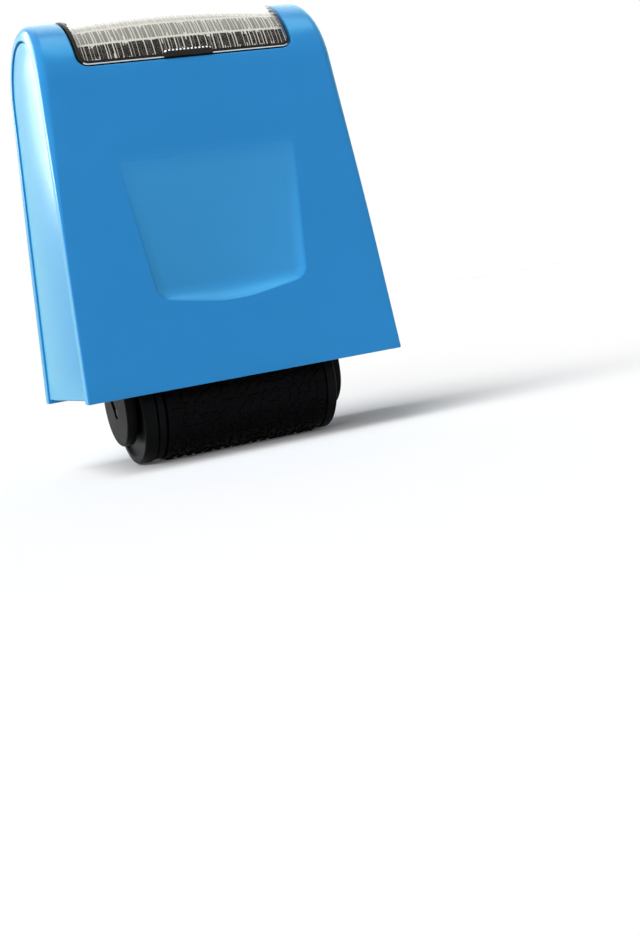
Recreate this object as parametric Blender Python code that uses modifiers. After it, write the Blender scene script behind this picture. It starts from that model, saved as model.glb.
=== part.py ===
"""A hand-held roller stamp that prints a masking pattern over text.

An arched housing with two side covers carries a clear window over a card, and a chassis inside it guides
a cartridge. The cartridge holds the print roller, and above it an ink roller that two springs press down.
X runs across the stamp, the thumb side faces -Y, Z is up, and the print roller stands on Z = 0.
"""

import math

import bmesh
import bpy
from mathutils import Matrix, Vector

MM = 0.001

# Gaps, overrun of cuts and broken edges that every piece shares
SEAT = 0.3 * MM
RUNNING = 0.1 * MM
OVERRUN = 1.0 * MM
EDGE_BREAK = 0.3 * MM

# Housing
HOUSING_WIDTH = 70.0 * MM
HOUSING_TOP_WIDTH = 62.0 * MM
HOUSING_DEPTH = 39.4 * MM
HOUSING_HEIGHT = 77.7 * MM
ARCH_RADIUS = 15.1 * MM
SHELL_WALL = 2.8 * MM
RIM_ROUND = 0.7 * MM
ARCH_ROUND = 1.7 * MM
HOUSING_ABOVE_AXLE = 3.7 * MM

# Thumb and finger recesses
RECESS_TOP = 49.0 * MM
RECESS_CORNER = 18.2 * MM
RECESS_BOTTOM = 15.6 * MM
RECESS_TOP_WIDTH = 39.6 * MM
RECESS_BOTTOM_WIDTH = 33.0 * MM
RECESS_DEPTH = 2.5 * MM
RECESS_RAMP = 4.0 * MM
RECESS_CORNER_ROUND = 3.2 * MM
RECESS_SWEEP_ROUND = 40.0 * MM
RECESS_EDGE_ROUND = 1.4 * MM
RECESS_SKIN = 1.3 * MM
RECESS_MARGIN = 2.0 * MM

# Side covers
COVER_THICKNESS = 2.0 * MM
COVER_SETBACK = 0.5 * MM
COVER_LIFT = 0.6 * MM
COVER_ROUND = 0.3 * MM

# Window over the arch, and the card under it
WINDOW_SIDE_MARGIN = 7.9 * MM
WINDOW_THICKNESS = 1.3 * MM
WINDOW_RISE = 0.25 * MM
WINDOW_CROWN = 1.25 * MM
WINDOW_CORNER = 2.0 * MM
WINDOW_EDGE_DEGREES = 15.3
CARD_THICKNESS = 0.3 * MM
CARD_MARGIN = 1.0 * MM
CARD_GAP = 0.25 * MM
TAB_WIDTH = 10.6 * MM
TAB_LENGTH = 1.9 * MM
TAB_HEIGHT = 0.7 * MM

# Print roller
PRINT_RADIUS = 12.0 * MM
FLANGE_DROP = 0.3 * MM
FLANGE_CHAMFER = 0.4 * MM
LEFT_FLANGE = 2.95 * MM
RIGHT_FLANGE = 2.25 * MM
COLLAR_LENGTH = 1.7 * MM
COLLAR_DROP = 0.6 * MM
SLEEVE_WALL = 2.3 * MM
AXLE_DIAMETER = 2.5 * MM
BUSH_WALL = 1.65 * MM
BUSH_LENGTH = 6.0 * MM

# Cartridge
CARTRIDGE_SIDE_ROOM = 10.2 * MM
END_PLATE_THICKNESS = 2.4 * MM
END_PLATE_HALF = 8.6 * MM
END_PLATE_CENTRE_RISE = 1.3 * MM
AXLE_SLOT_WIDTH = 2.0 * MM
TIE_BAR = 2.0 * MM
CAP_THICKNESS = 2.0 * MM
INK_HOLE_DIAMETER = 3.0 * MM
INK_HOLE_PITCH = 12.0 * MM

# Ink roller and its sprung blocks
INK_RADIUS = 10.0 * MM
INK_CORE_RADIUS = 4.5 * MM
INK_END_PLAY = 0.5 * MM
FELT_MARGIN = 0.9 * MM
INK_HEADROOM = 2.2 * MM
BLOCK_SIZE = 6.0 * MM
BLOCK_THICKNESS = 4.0 * MM
BLOCK_SLIDE = 0.2 * MM
BLOCK_PIN_DIAMETER = 1.6 * MM
BLOCK_PIN_HEIGHT = 1.2 * MM
SPRING_RADIUS = 1.45 * MM
SPRING_WIRE = 0.5 * MM
SPRING_TURNS = 6

# Chassis and its screws
CHASSIS_RISE = 3.0 * MM
CHASSIS_PLATE = 2.0 * MM
CHASSIS_WALL = 2.0 * MM
CHASSIS_OPENING_ROOM = 0.8 * MM
CHASSIS_LIP = 0.5 * MM
GUIDE_LAP = 2.1 * MM
BOSS_HALF = 1.9 * MM
BOSS_HEIGHT = 10.0 * MM
SCREW_DIAMETER = 2.0 * MM
SCREW_HEAD_DIAMETER = 4.0 * MM
SCREW_HEAD_HEIGHT = 1.4 * MM
SCREW_LENGTH = 7.5 * MM
SOCKET_WIDTH = 1.5 * MM
SOCKET_DEPTH = 0.8 * MM

# How finely round shapes are divided
ROLLER_STEPS = 56
SMALL_STEPS = 20
ARCH_STEPS = 36
WALL_STEPS = 6
CORNER_STEPS = 5
CROWN_COLUMNS = 12
SPRING_POINTS = 9

# Sizes that follow from those above
TOUCH = SEAT / 100
AXLE_Z = PRINT_RADIUS
HOUSING_BASE = AXLE_Z + HOUSING_ABOVE_AXLE
SIDE_SLOPE = (HOUSING_WIDTH - HOUSING_TOP_WIDTH) / 2 / HOUSING_HEIGHT
ARCH_CENTRE_Z = HOUSING_BASE + HOUSING_HEIGHT - ARCH_RADIUS
WALL_REACH = math.hypot(HOUSING_DEPTH / 2, HOUSING_HEIGHT - ARCH_RADIUS)
WALL_RISE = math.atan2(HOUSING_HEIGHT - ARCH_RADIUS, HOUSING_DEPTH / 2)
FACE_LEAN = math.acos(ARCH_RADIUS / WALL_REACH) - WALL_RISE
POCKET_DEPTH = WINDOW_THICKNESS - WINDOW_RISE + CARD_THICKNESS + 2 * CARD_GAP
WINDOW_EDGE = math.radians(WINDOW_EDGE_DEGREES)
WINDOW_WIDTH = HOUSING_TOP_WIDTH - 2 * WINDOW_SIDE_MARGIN
BORE_RADIUS = AXLE_DIAMETER / 2 + RUNNING
BUSH_RADIUS = BORE_RADIUS + BUSH_WALL
HUB_RADIUS = BUSH_RADIUS + SEAT
CORE_RADIUS = PRINT_RADIUS - SLEEVE_WALL - SEAT
END_PLATE_OUTER = HOUSING_WIDTH / 2 - CARTRIDGE_SIDE_ROOM
END_PLATE_INNER = END_PLATE_OUTER - END_PLATE_THICKNESS
ROLLER_HALF = END_PLATE_INNER - SEAT
END_PLATE_CENTRE_Z = AXLE_Z + END_PLATE_CENTRE_RISE
INK_AXLE_Z = AXLE_Z + PRINT_RADIUS + SEAT + INK_RADIUS
END_PLATE_TOP = INK_AXLE_Z + INK_RADIUS + INK_HEADROOM
CAP_BASE = END_PLATE_TOP + SEAT
CAP_TOP = CAP_BASE + CAP_THICKNESS
INK_CORE_HALF = END_PLATE_OUTER - BLOCK_THICKNESS - INK_END_PLAY
CHASSIS_BASE = HOUSING_BASE + CHASSIS_RISE
CHASSIS_TOP = CHASSIS_BASE + CHASSIS_PLATE
PRINT_CHORD = math.sqrt(PRINT_RADIUS ** 2 - (CHASSIS_BASE - AXLE_Z) ** 2)
CHASSIS_OPENING_HALF = max(PRINT_CHORD, INK_RADIUS, END_PLATE_HALF) + CHASSIS_OPENING_ROOM
BOSS_TOP = CHASSIS_TOP + SEAT + BOSS_HEIGHT
GUIDE_INNER = END_PLATE_OUTER + SEAT
GUIDE_OUTER = GUIDE_INNER + CHASSIS_WALL
GUIDE_HALF = END_PLATE_HALF + SEAT + CHASSIS_WALL
BRIDGE_BASE = CAP_TOP + SEAT
BRIDGE_TOP = BRIDGE_BASE + CHASSIS_WALL
BLOCK_X = END_PLATE_OUTER - BLOCK_THICKNESS / 2

# Shares of the end plate's half width for the slot through which the axle is pressed in
AXLE_SLOT_SHARES = ((0, 0), (0.10, 0.13), (0.19, 0.27), (0.24, 0.43), (0.32, 0.60), (0.50, 0.76),
                    (0.75, 0.87), (1.2, 0.93))

# Turns an outline in Y and Z, or in X and Z, to the direction it is extruded along
ACROSS = Matrix(((0, 0, 1, 0), (1, 0, 0, 0), (0, 1, 0, 0), (0, 0, 0, 1)))
FACING = Matrix(((1, 0, 0, 0), (0, 0, -1, 0), (0, 1, 0, 0), (0, 0, 0, 1)))
UPRIGHT = Matrix.Identity(4)
ALONG_X = Matrix.Rotation(math.pi / 2, 4, "Y")


def clear_scene():
    """Remove what a new file holds."""
    for item in list(bpy.data.objects):
        bpy.data.objects.remove(item, do_unlink=True)


def new_collection(name):
    """A collection linked to the scene."""
    collection = bpy.data.collections.new(name)
    bpy.context.scene.collection.children.link(collection)
    return collection


def new_material(name, colour, roughness, metallic=0.0, alpha=1.0):
    """A Principled material of one plain colour."""
    material = bpy.data.materials.new(name)
    material.use_nodes = True
    shader = material.node_tree.nodes["Principled BSDF"]
    shader.inputs["Base Color"].default_value = (*colour, 1.0)
    shader.inputs["Roughness"].default_value = roughness
    shader.inputs["Metallic"].default_value = metallic
    shader.inputs["Alpha"].default_value = alpha
    return material


def new_part(name, mesh, material, location=(0, 0, 0), matrix=None):
    """A piece of the stamp, as an object of its own."""
    part = bpy.data.objects.new(name, mesh)
    part.data.materials.append(MATERIALS[material])
    part.matrix_world = Matrix.Translation(location) @ (matrix or UPRIGHT)
    PARTS.objects.link(part)
    return part


def new_tool(name, mesh, location=(0, 0, 0), matrix=None):
    """A shape that cuts a piece or is joined to it."""
    tool = bpy.data.objects.new(name, mesh)
    tool.matrix_world = Matrix.Translation(location) @ (matrix or UPRIGHT)
    tool.hide_render = True
    tool.display_type = "WIRE"
    TOOLS.objects.link(tool)
    return tool


def combine(part, tool, operation):
    """Add a Boolean of the given kind to a piece."""
    modifier = part.modifiers.new(tool.name, "BOOLEAN")
    modifier.operation = operation
    modifier.object = tool
    modifier.solver = "EXACT"


def cut(part, tool):
    """Cut a tool out of a piece."""
    combine(part, tool, "DIFFERENCE")


def join(part, tool):
    """Join a tool to a piece."""
    combine(part, tool, "UNION")


def bevel(part, width, segments, by_weight=False):
    """Round the sharp edges of a piece, or only those that carry a weight."""
    modifier = part.modifiers.new("rounded edges", "BEVEL")
    modifier.width = width
    modifier.segments = segments
    modifier.limit_method = "WEIGHT" if by_weight else "ANGLE"
    modifier.angle_limit = math.radians(40)


def shade(part):
    """Shade a round piece smooth between its sharp edges."""
    part.data.shade_smooth()
    part.data.set_sharp_from_angle(angle=math.radians(35))


def prism_mesh(name, outline, low, high, matrix):
    """A closed outline, filled and extruded from low to high along its own normal, as a mesh."""
    curve = bpy.data.curves.new(name, "CURVE")
    curve.dimensions = "2D"
    curve.fill_mode = "BOTH"
    curve.extrude = (high - low) / 2
    spline = curve.splines.new("POLY")
    spline.points.add(len(outline) - 1)
    for point, (across, up) in zip(spline.points, outline):
        point.co = (across, up, 0, 1)
    spline.use_cyclic_u = True
    source = bpy.data.objects.new(name, curve)
    TOOLS.objects.link(source)
    depsgraph = bpy.context.evaluated_depsgraph_get()
    mesh = bpy.data.meshes.new_from_object(source.evaluated_get(depsgraph))
    bpy.data.objects.remove(source, do_unlink=True)
    mesh.transform(matrix @ Matrix.Translation((0, 0, (low + high) / 2)))
    body = bmesh.new()
    body.from_mesh(mesh)
    bmesh.ops.remove_doubles(body, verts=body.verts, dist=TOUCH)
    bmesh.ops.dissolve_limit(body, angle_limit=math.radians(0.1), verts=body.verts, edges=body.edges)
    bmesh.ops.recalc_face_normals(body, faces=body.faces)
    body.to_mesh(mesh)
    body.free()
    return mesh


def box_mesh(name, low, high):
    """A box between two corners."""
    size = Vector(high) - Vector(low)
    middle = (Vector(high) + Vector(low)) / 2
    body = bmesh.new()
    bmesh.ops.create_cube(body, size=1.0, matrix=Matrix.Translation(middle) @ Matrix.Diagonal((*size, 1.0)))
    mesh = bpy.data.meshes.new(name)
    body.to_mesh(mesh)
    body.free()
    return mesh


def rod_mesh(name, radius, length, steps=SMALL_STEPS):
    """A solid cylinder about Z with its middle at the origin."""
    body = bmesh.new()
    bmesh.ops.create_cone(body, cap_ends=True, segments=steps, radius1=radius, radius2=radius, depth=length)
    mesh = bpy.data.meshes.new(name)
    body.to_mesh(mesh)
    body.free()
    return mesh


def turn(part, steps):
    """Turn a piece's profile about its own Z."""
    modifier = part.modifiers.new("turned", "SCREW")
    modifier.angle = 2 * math.pi
    modifier.axis = "Z"
    modifier.steps = steps
    modifier.render_steps = steps
    modifier.use_merge_vertices = True
    modifier.merge_threshold = TOUCH


def turned_part(name, profile, material, location, steps, closed=True):
    """A ring or shaft along X, from a profile of radius and place that runs down its outer side."""
    points = [(radius, 0, along) for radius, along in profile]
    edges = [(k, k + 1) for k in range(len(points) - 1)]
    if closed:
        edges.append((len(points) - 1, 0))
    mesh = bpy.data.meshes.new(name)
    mesh.from_pydata(points, edges, [])
    part = new_part(name, mesh, material, location, ALONG_X)
    turn(part, steps)
    return part


def ring(outer, inner, low, high, chamfer=0):
    """The profile of a ring between two places along its axis, its outer edges chamfered."""
    if not chamfer:
        return [(outer, high), (outer, low), (inner, low), (inner, high)]
    side = [(outer - chamfer, high), (outer, high - chamfer), (outer, low + chamfer), (outer - chamfer, low)]
    return side + [(inner, low), (inner, high)]


def shaft(radius, half_length, chamfer):
    """The profile of a solid shaft with chamfered ends."""
    return [(0, half_length), (radius - chamfer, half_length), (radius, half_length - chamfer),
            (radius, chamfer - half_length), (radius - chamfer, -half_length), (0, -half_length)]


def rounded_outline(corners, rounds, steps=CORNER_STEPS):
    """A closed outline whose corners are arcs of the given radii."""
    points = []
    for k, (corner, radius) in enumerate(zip(corners, rounds)):
        here = Vector(corner)
        before = (Vector(corners[k - 1]) - here).normalized()
        after = (Vector(corners[(k + 1) % len(corners)]) - here).normalized()
        half_angle = before.angle(after) / 2
        centre = here + (before + after).normalized() * (radius / math.sin(half_angle))
        start = here + before * (radius / math.tan(half_angle)) - centre
        turn_angle = start.angle_signed(here + after * (radius / math.tan(half_angle)) - centre)
        for step in range(steps + 1):
            angle = -turn_angle * step / steps
            points.append(tuple(centre + Matrix.Rotation(angle, 2) @ start))
    return points


def wall_y(inset, z):
    """Half the housing's depth at a height, measured to a surface that lies inset from its outer skin."""
    reach = HOUSING_DEPTH / 2 * math.cos(FACE_LEAN) - inset - (z - HOUSING_BASE) * math.sin(FACE_LEAN)
    return reach / math.cos(FACE_LEAN)


def half_width(z):
    """Half the housing's width at a height."""
    return HOUSING_WIDTH / 2 - (z - HOUSING_BASE) * SIDE_SLOPE


def arch_outline(inset, base):
    """The housing's outline in Y and Z, from the front wall's foot over the arch to the rear wall's foot."""
    radius = ARCH_RADIUS - inset
    tangent_z = ARCH_CENTRE_Z + radius * math.sin(FACE_LEAN)
    heights = [base + (tangent_z - base) * step / WALL_STEPS for step in range(WALL_STEPS)]
    front = [(-wall_y(inset, z), z) for z in heights]
    sweep = math.pi - 2 * FACE_LEAN
    angles = [FACE_LEAN + sweep * step / ARCH_STEPS for step in range(ARCH_STEPS + 1)]
    arch = [(-radius * math.cos(angle), ARCH_CENTRE_Z + radius * math.sin(angle)) for angle in angles]
    rear = [(-y, z) for y, z in reversed(front)]
    return front + arch + rear


def weigh_rim(mesh):
    """Give the outer edges of the shell's two sides a bevel weight that grows towards the arch."""
    weights = mesh.attributes.new("bevel_weight_edge", "FLOAT", "EDGE")
    for edge in mesh.edges:
        ends = [mesh.vertices[k].co for k in edge.vertices]
        middle = (ends[0] + ends[1]) / 2
        same_side = ends[0].x * ends[1].x > 0
        rise = max(0, middle.z - ARCH_CENTRE_Z)
        from_arch = ARCH_RADIUS - math.hypot(middle.y, rise)
        from_wall = wall_y(0, middle.z) - abs(middle.y)
        on_skin = min(from_arch if rise else ARCH_RADIUS, from_wall) < SEAT
        if same_side and on_skin and middle.z > HOUSING_BASE + SEAT:
            share = (middle.z - HOUSING_BASE) / HOUSING_HEIGHT
            width = RIM_ROUND + (ARCH_ROUND - RIM_ROUND) * share ** 3
            weights.data[edge.index].value = width / ARCH_ROUND


def wall_slab(name, outline, outer_inset, inner_inset, side, slope=0):
    """A slab in the front (side -1) or rear (side 1) wall, between two insets from its skin.

    Its lower end rises by the slope for each length that it goes in, and its upper end doesn't.
    """
    mesh = prism_mesh(name, outline, -OVERRUN, OVERRUN, FACING)
    top = max(vertex.co.z for vertex in mesh.vertices)
    bottom = min(vertex.co.z for vertex in mesh.vertices)
    for vertex in mesh.vertices:
        z = vertex.co.z
        inset = inner_inset(z) if vertex.co.y > 0 else outer_inset(z)
        vertex.co.z += slope * inset * (top - z) / (top - bottom)
        vertex.co.y = side * wall_y(inset, vertex.co.z)
    if side > 0:
        mesh.flip_normals()
    return mesh


def recess_outline(margin):
    """The recess's outline in X and Z, grown by a margin."""
    top = HOUSING_BASE + RECESS_TOP + margin + RECESS_MARGIN
    corner = HOUSING_BASE + RECESS_CORNER - margin
    bottom = HOUSING_BASE + RECESS_BOTTOM - margin
    half_top = RECESS_TOP_WIDTH / 2 + margin
    half_bottom = RECESS_BOTTOM_WIDTH / 2 + margin
    left = [(-half_top, top), (-half_bottom, corner)]
    right = [(half_bottom, corner), (half_top, top)]
    pair = [RECESS_CORNER_ROUND] * 2
    return rounded_outline(left + [(0, bottom)] + right, pair + [RECESS_SWEEP_ROUND] + pair)


def recess_floor(z):
    """How far the recess's floor lies under the skin: nothing at its top, and most at its bottom."""
    top = HOUSING_BASE + RECESS_TOP
    bottom = HOUSING_BASE + RECESS_BOTTOM
    return RECESS_DEPTH * (top - z) / (top - bottom)


def round_recess_floor(tool):
    """Round the edge between the recess's floor and its sides."""
    weights = tool.data.attributes.new("bevel_weight_edge", "FLOAT", "EDGE")
    for edge in tool.data.edges:
        ends = [tool.data.vertices[k].co for k in edge.vertices]
        if all(abs(end.y) < wall_y(-OVERRUN / 2, end.z) for end in ends):
            weights.data[edge.index].value = 1.0
    bevel(tool, RECESS_EDGE_ROUND, 3, by_weight=True)


def add_recess(shell, side):
    """Back a wall with a pad and sink the recess into it."""
    name = "thumb_recess" if side < 0 else "finger_recess"
    pad_depth = max(SHELL_WALL, RECESS_DEPTH + RECESS_SKIN)
    around = recess_outline(RECESS_MARGIN)
    pad = wall_slab(name + "_pad", around, lambda z: SHELL_WALL / 2, lambda z: pad_depth, side)
    join(shell, new_tool(name + "_pad", pad))
    slope = RECESS_RAMP / RECESS_DEPTH
    sunk = wall_slab(name, recess_outline(0), lambda z: -OVERRUN, recess_floor, side, slope)
    tool = new_tool(name, sunk)
    round_recess_floor(tool)
    cut(shell, tool)


def arch_sheet_mesh(name, radius, width, edge, corner, crown, columns):
    """An open sheet bent over the arch with four rounded corners, which crown lifts in its middle."""
    rows = ARCH_STEPS + 2 * CORNER_STEPS
    half_arc = radius * (math.pi / 2 - edge)
    body = bmesh.new()
    bmesh.ops.create_grid(body, x_segments=columns, y_segments=rows, size=1.0)
    for vertex in body.verts:
        row = round((vertex.co.y + 1) / 2 * rows)
        from_end = min(row, rows - row)
        if from_end < CORNER_STEPS:
            inset = corner * (1 - math.cos(from_end / CORNER_STEPS * math.pi / 2))
            narrowed = corner - math.sqrt(corner ** 2 - (corner - inset) ** 2)
        else:
            inset = corner + (half_arc - corner) * (from_end - CORNER_STEPS) / (rows / 2 - CORNER_STEPS)
            narrowed = 0
        arc = inset if row <= rows / 2 else 2 * half_arc - inset
        angle = edge + arc / radius
        dome = (1 - vertex.co.x ** 2) * (1 - ((angle - math.pi / 2) / (math.pi / 2 - edge)) ** 2)
        reach = radius + crown * dome
        across = vertex.co.x * (width / 2 - narrowed)
        vertex.co = (across, -reach * math.cos(angle), ARCH_CENTRE_Z + reach * math.sin(angle))
    mesh = bpy.data.meshes.new(name)
    body.to_mesh(mesh)
    body.free()
    return mesh


def thicken(part, thickness):
    """Thicken an open sheet outwards."""
    modifier = part.modifiers.new("thickness", "SOLIDIFY")
    modifier.thickness = thickness
    modifier.offset = 1.0
    modifier.use_even_offset = True


def ribbon_outline(path, width):
    """The outline of a strip that follows a path, square at both ends."""
    left = []
    right = []
    for k, point in enumerate(path):
        before = Vector(path[max(k - 1, 0)])
        after = Vector(path[min(k + 1, len(path) - 1)])
        along = (after - before).normalized()
        aside = Vector((-along.y, along.x)) * (width / 2)
        left.append(tuple(Vector(point) + aside))
        right.append(tuple(Vector(point) - aside))
    return left + right[::-1]


def make_shell():
    """The arched housing: walls, recesses, window pocket and screw bosses."""
    outline = arch_outline(0, HOUSING_BASE) + arch_outline(SHELL_WALL, HOUSING_BASE)[::-1]
    mesh = prism_mesh("housing_shell", outline, -HOUSING_WIDTH / 2, HOUSING_WIDTH / 2, ACROSS)
    for vertex in mesh.vertices:
        vertex.co.x *= half_width(vertex.co.z) / (HOUSING_WIDTH / 2)
    weigh_rim(mesh)
    shell = new_part("housing_shell", mesh, "blue_plastic")
    bevel(shell, ARCH_ROUND, 3, by_weight=True)
    pocket_edge = WINDOW_EDGE - SEAT / ARCH_RADIUS
    floor = ARCH_RADIUS - POCKET_DEPTH
    width = WINDOW_WIDTH + 2 * SEAT
    hollow = arch_sheet_mesh("window_pocket", floor, width, pocket_edge, WINDOW_CORNER, 0, 2)
    pocket = new_tool("window_pocket", hollow)
    thicken(pocket, POCKET_DEPTH + 2 * OVERRUN)
    cut(shell, pocket)
    for side in (-1, 1):
        add_recess(shell, side)
    for name, x, y in screw_places():
        add_boss(shell, name, x, y)
    shade(shell)


def screw_places():
    """Name and place of each chassis screw."""
    x = GUIDE_OUTER + SEAT + BOSS_HALF
    y = wall_y(SHELL_WALL, BOSS_TOP) - BOSS_HALF
    corners = enumerate(((-1, -1), (1, -1), (-1, 1), (1, 1)), 1)
    return [(f"chassis_screw_{number}", x * across, y * along) for number, (across, along) in corners]


def add_boss(shell, name, x, y):
    """A boss on the wall over the chassis, with a blind hole for its screw."""
    side = 1 if y > 0 else -1
    low = CHASSIS_TOP + SEAT
    inner = abs(y) - BOSS_HALF
    outer = abs(y) + BOSS_HALF + OVERRUN
    near, far = sorted((side * inner, side * outer))
    block = box_mesh(name + "_boss", (x - BOSS_HALF, near, low), (x + BOSS_HALF, far, BOSS_TOP))
    join(shell, new_tool(name + "_boss", block))
    depth = SCREW_LENGTH - CHASSIS_PLATE + OVERRUN
    hole = rod_mesh(name + "_hole", SCREW_DIAMETER / 2 + SEAT, 2 * depth)
    cut(shell, new_tool(name + "_hole", hole, (x, y, low)))


def make_cover(name, side):
    """A side cover, set back in the rim, which follows the slope of the housing's side."""
    outline = arch_outline(SHELL_WALL + SEAT, HOUSING_BASE + COVER_LIFT)
    mesh = prism_mesh(name, outline, -COVER_THICKNESS / 2, COVER_THICKNESS / 2, ACROSS)
    for vertex in mesh.vertices:
        vertex.co.x += side * (half_width(vertex.co.z) - COVER_SETBACK - COVER_THICKNESS / 2)
    cover = new_part(name, mesh, "blue_plastic")
    bevel(cover, COVER_ROUND, 1)
    shade(cover)


def make_card():
    """The printed card that lies in the pocket under the window."""
    radius = ARCH_RADIUS - POCKET_DEPTH + CARD_GAP
    edge = WINDOW_EDGE + CARD_MARGIN / ARCH_RADIUS
    width = WINDOW_WIDTH - 2 * CARD_MARGIN
    mesh = arch_sheet_mesh("index_card", radius, width, edge, WINDOW_CORNER - CARD_MARGIN / 2, 0, 2)
    card = new_part("index_card", mesh, "card")
    thicken(card, CARD_THICKNESS)
    shade(card)


def make_window():
    """The clear window, crowned over its middle, with a finger tab at its front edge."""
    radius = ARCH_RADIUS + WINDOW_RISE - WINDOW_THICKNESS
    sheet = arch_sheet_mesh("index_window", radius, WINDOW_WIDTH, WINDOW_EDGE, WINDOW_CORNER, WINDOW_CROWN,
                            CROWN_COLUMNS)
    window = new_part("index_window", sheet, "clear_plastic")
    thicken(window, WINDOW_THICKNESS)
    skin = ARCH_RADIUS + WINDOW_RISE
    angle = WINDOW_EDGE + (TAB_LENGTH / 2 + SEAT) / skin
    middle = (0, -skin * math.cos(angle), ARCH_CENTRE_Z + skin * math.sin(angle))
    tab = box_mesh("finger_tab", (-TAB_WIDTH / 2, -TAB_LENGTH / 2, -WINDOW_THICKNESS / 2),
                   (TAB_WIDTH / 2, TAB_LENGTH / 2, TAB_HEIGHT))
    join(window, new_tool("finger_tab", tab, middle, Matrix.Rotation(math.pi / 2 - angle, 4, "X")))
    shade(window)


def make_print_roller():
    """Core, flanges, collar, rubber sleeve and bushes, all on the print axle's line."""
    place = (0, 0, AXLE_Z)
    left = -ROLLER_HALF
    right = ROLLER_HALF
    flange_radius = PRINT_RADIUS - FLANGE_DROP
    left_face = left + LEFT_FLANGE
    right_face = right - RIGHT_FLANGE
    collar_start = left_face + SEAT
    collar_end = collar_start + COLLAR_LENGTH
    on_core = CORE_RADIUS + SEAT
    black = {
        "left_flange": ring(flange_radius, HUB_RADIUS, left, left_face, FLANGE_CHAMFER),
        "right_flange": ring(flange_radius, HUB_RADIUS, right_face, right, FLANGE_CHAMFER),
        "roller_collar": ring(PRINT_RADIUS - COLLAR_DROP, on_core, collar_start, collar_end),
        "print_core": ring(CORE_RADIUS, HUB_RADIUS, collar_start, right_face - SEAT),
    }
    for name, profile in black.items():
        shade(turned_part(name, profile, "black_plastic", place, ROLLER_STEPS))
    sleeve = ring(PRINT_RADIUS, on_core, collar_end + SEAT, right_face - SEAT)
    shade(turned_part("print_sleeve", sleeve, "rubber", place, ROLLER_STEPS))
    for name, low in (("left_bush", left), ("right_bush", right - BUSH_LENGTH)):
        bush = ring(BUSH_RADIUS, BORE_RADIUS, low, low + BUSH_LENGTH)
        shade(turned_part(name, bush, "bush_plastic", place, SMALL_STEPS))


def make_axle(name, z, half_length):
    """A plain steel axle along X."""
    profile = shaft(AXLE_DIAMETER / 2, half_length, EDGE_BREAK)
    shade(turned_part(name, profile, "dark_steel", (0, 0, z), SMALL_STEPS, closed=False))


def end_plate_outline():
    """An end plate's outline in Y and Z: a round lower end under straight sides."""
    sweep = [math.pi + math.pi * step / ARCH_STEPS for step in range(ARCH_STEPS + 1)]
    arc = [(END_PLATE_HALF * math.cos(a), END_PLATE_CENTRE_Z + END_PLATE_HALF * math.sin(a)) for a in sweep]
    return arc + [(END_PLATE_HALF, END_PLATE_TOP), (-END_PLATE_HALF, END_PLATE_TOP)]


def make_cartridge_frame():
    """Two end plates on two tie bars, slotted for the print axle and for the ink roller's blocks."""
    left = prism_mesh("cartridge_frame", end_plate_outline(), -END_PLATE_OUTER, -END_PLATE_INNER, ACROSS)
    frame = new_part("cartridge_frame", left, "black_plastic")
    bevel(frame, EDGE_BREAK, 1)
    nip = AXLE_Z + PRINT_RADIUS + SEAT / 2
    reach = END_PLATE_INNER + END_PLATE_THICKNESS / 2
    for side, name in ((-1, "front_tie_bar"), (1, "rear_tie_bar")):
        outer = END_PLATE_HALF - EDGE_BREAK
        near, far = sorted((side * (outer - TIE_BAR), side * outer))
        bar = box_mesh(name, (-reach, near, nip - TIE_BAR / 2), (reach, far, nip + TIE_BAR / 2))
        join(frame, new_tool(name, bar))
    right = prism_mesh("right_end_plate", end_plate_outline(), END_PLATE_INNER, END_PLATE_OUTER, ACROSS)
    right_plate = new_tool("right_end_plate", right)
    bevel(right_plate, EDGE_BREAK, 1)
    join(frame, right_plate)
    across = END_PLATE_OUTER + OVERRUN
    path = [(y * END_PLATE_HALF, AXLE_Z + z * END_PLATE_HALF) for y, z in AXLE_SLOT_SHARES]
    slot = prism_mesh("axle_slot", ribbon_outline(path, AXLE_SLOT_WIDTH), -across, across, ACROSS)
    cut(frame, new_tool("axle_slot", slot))
    seat = rod_mesh("axle_seat", BORE_RADIUS, 2 * across)
    cut(frame, new_tool("axle_seat", seat, (0, 0, AXLE_Z), ALONG_X))
    slot_half = BLOCK_SIZE / 2 + BLOCK_SLIDE
    guide = box_mesh("block_slot", (-across, -slot_half, INK_AXLE_Z - BLOCK_SIZE / 2 - SEAT),
                     (across, slot_half, END_PLATE_TOP + OVERRUN))
    cut(frame, new_tool("block_slot", guide))
    shade(frame)


def make_cartridge_cap():
    """The cap over the cartridge, with holes for adding ink."""
    mesh = box_mesh("cartridge_cap", (-END_PLATE_OUTER, -END_PLATE_HALF, CAP_BASE),
                    (END_PLATE_OUTER, END_PLATE_HALF, CAP_TOP))
    cap = new_part("cartridge_cap", mesh, "black_plastic")
    bevel(cap, EDGE_BREAK, 1)
    for number in (-1, 0, 1):
        hole = rod_mesh(f"ink_hole_{number + 2}", INK_HOLE_DIAMETER / 2, CAP_THICKNESS + 2 * OVERRUN)
        place = (number * INK_HOLE_PITCH, 0, CAP_BASE + CAP_THICKNESS / 2)
        cut(cap, new_tool(f"ink_hole_{number + 2}", hole, place))


def make_ink_roller():
    """Felt on a plastic core, turning on an axle that two sliding blocks carry."""
    place = (0, 0, INK_AXLE_Z)
    felt_half = INK_CORE_HALF - FELT_MARGIN
    core = ring(INK_CORE_RADIUS, BORE_RADIUS, -INK_CORE_HALF, INK_CORE_HALF)
    shade(turned_part("ink_core", core, "bush_plastic", place, SMALL_STEPS))
    felt = ring(INK_RADIUS, INK_CORE_RADIUS + SEAT, -felt_half, felt_half)
    shade(turned_part("ink_felt", felt, "felt", place, ROLLER_STEPS))
    make_axle("ink_axle", INK_AXLE_Z, END_PLATE_OUTER - SEAT)
    for side, name in ((-1, "left"), (1, "right")):
        make_block(name + "_ink_block", side)
        make_spring(name + "_ink_spring", side)


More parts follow.
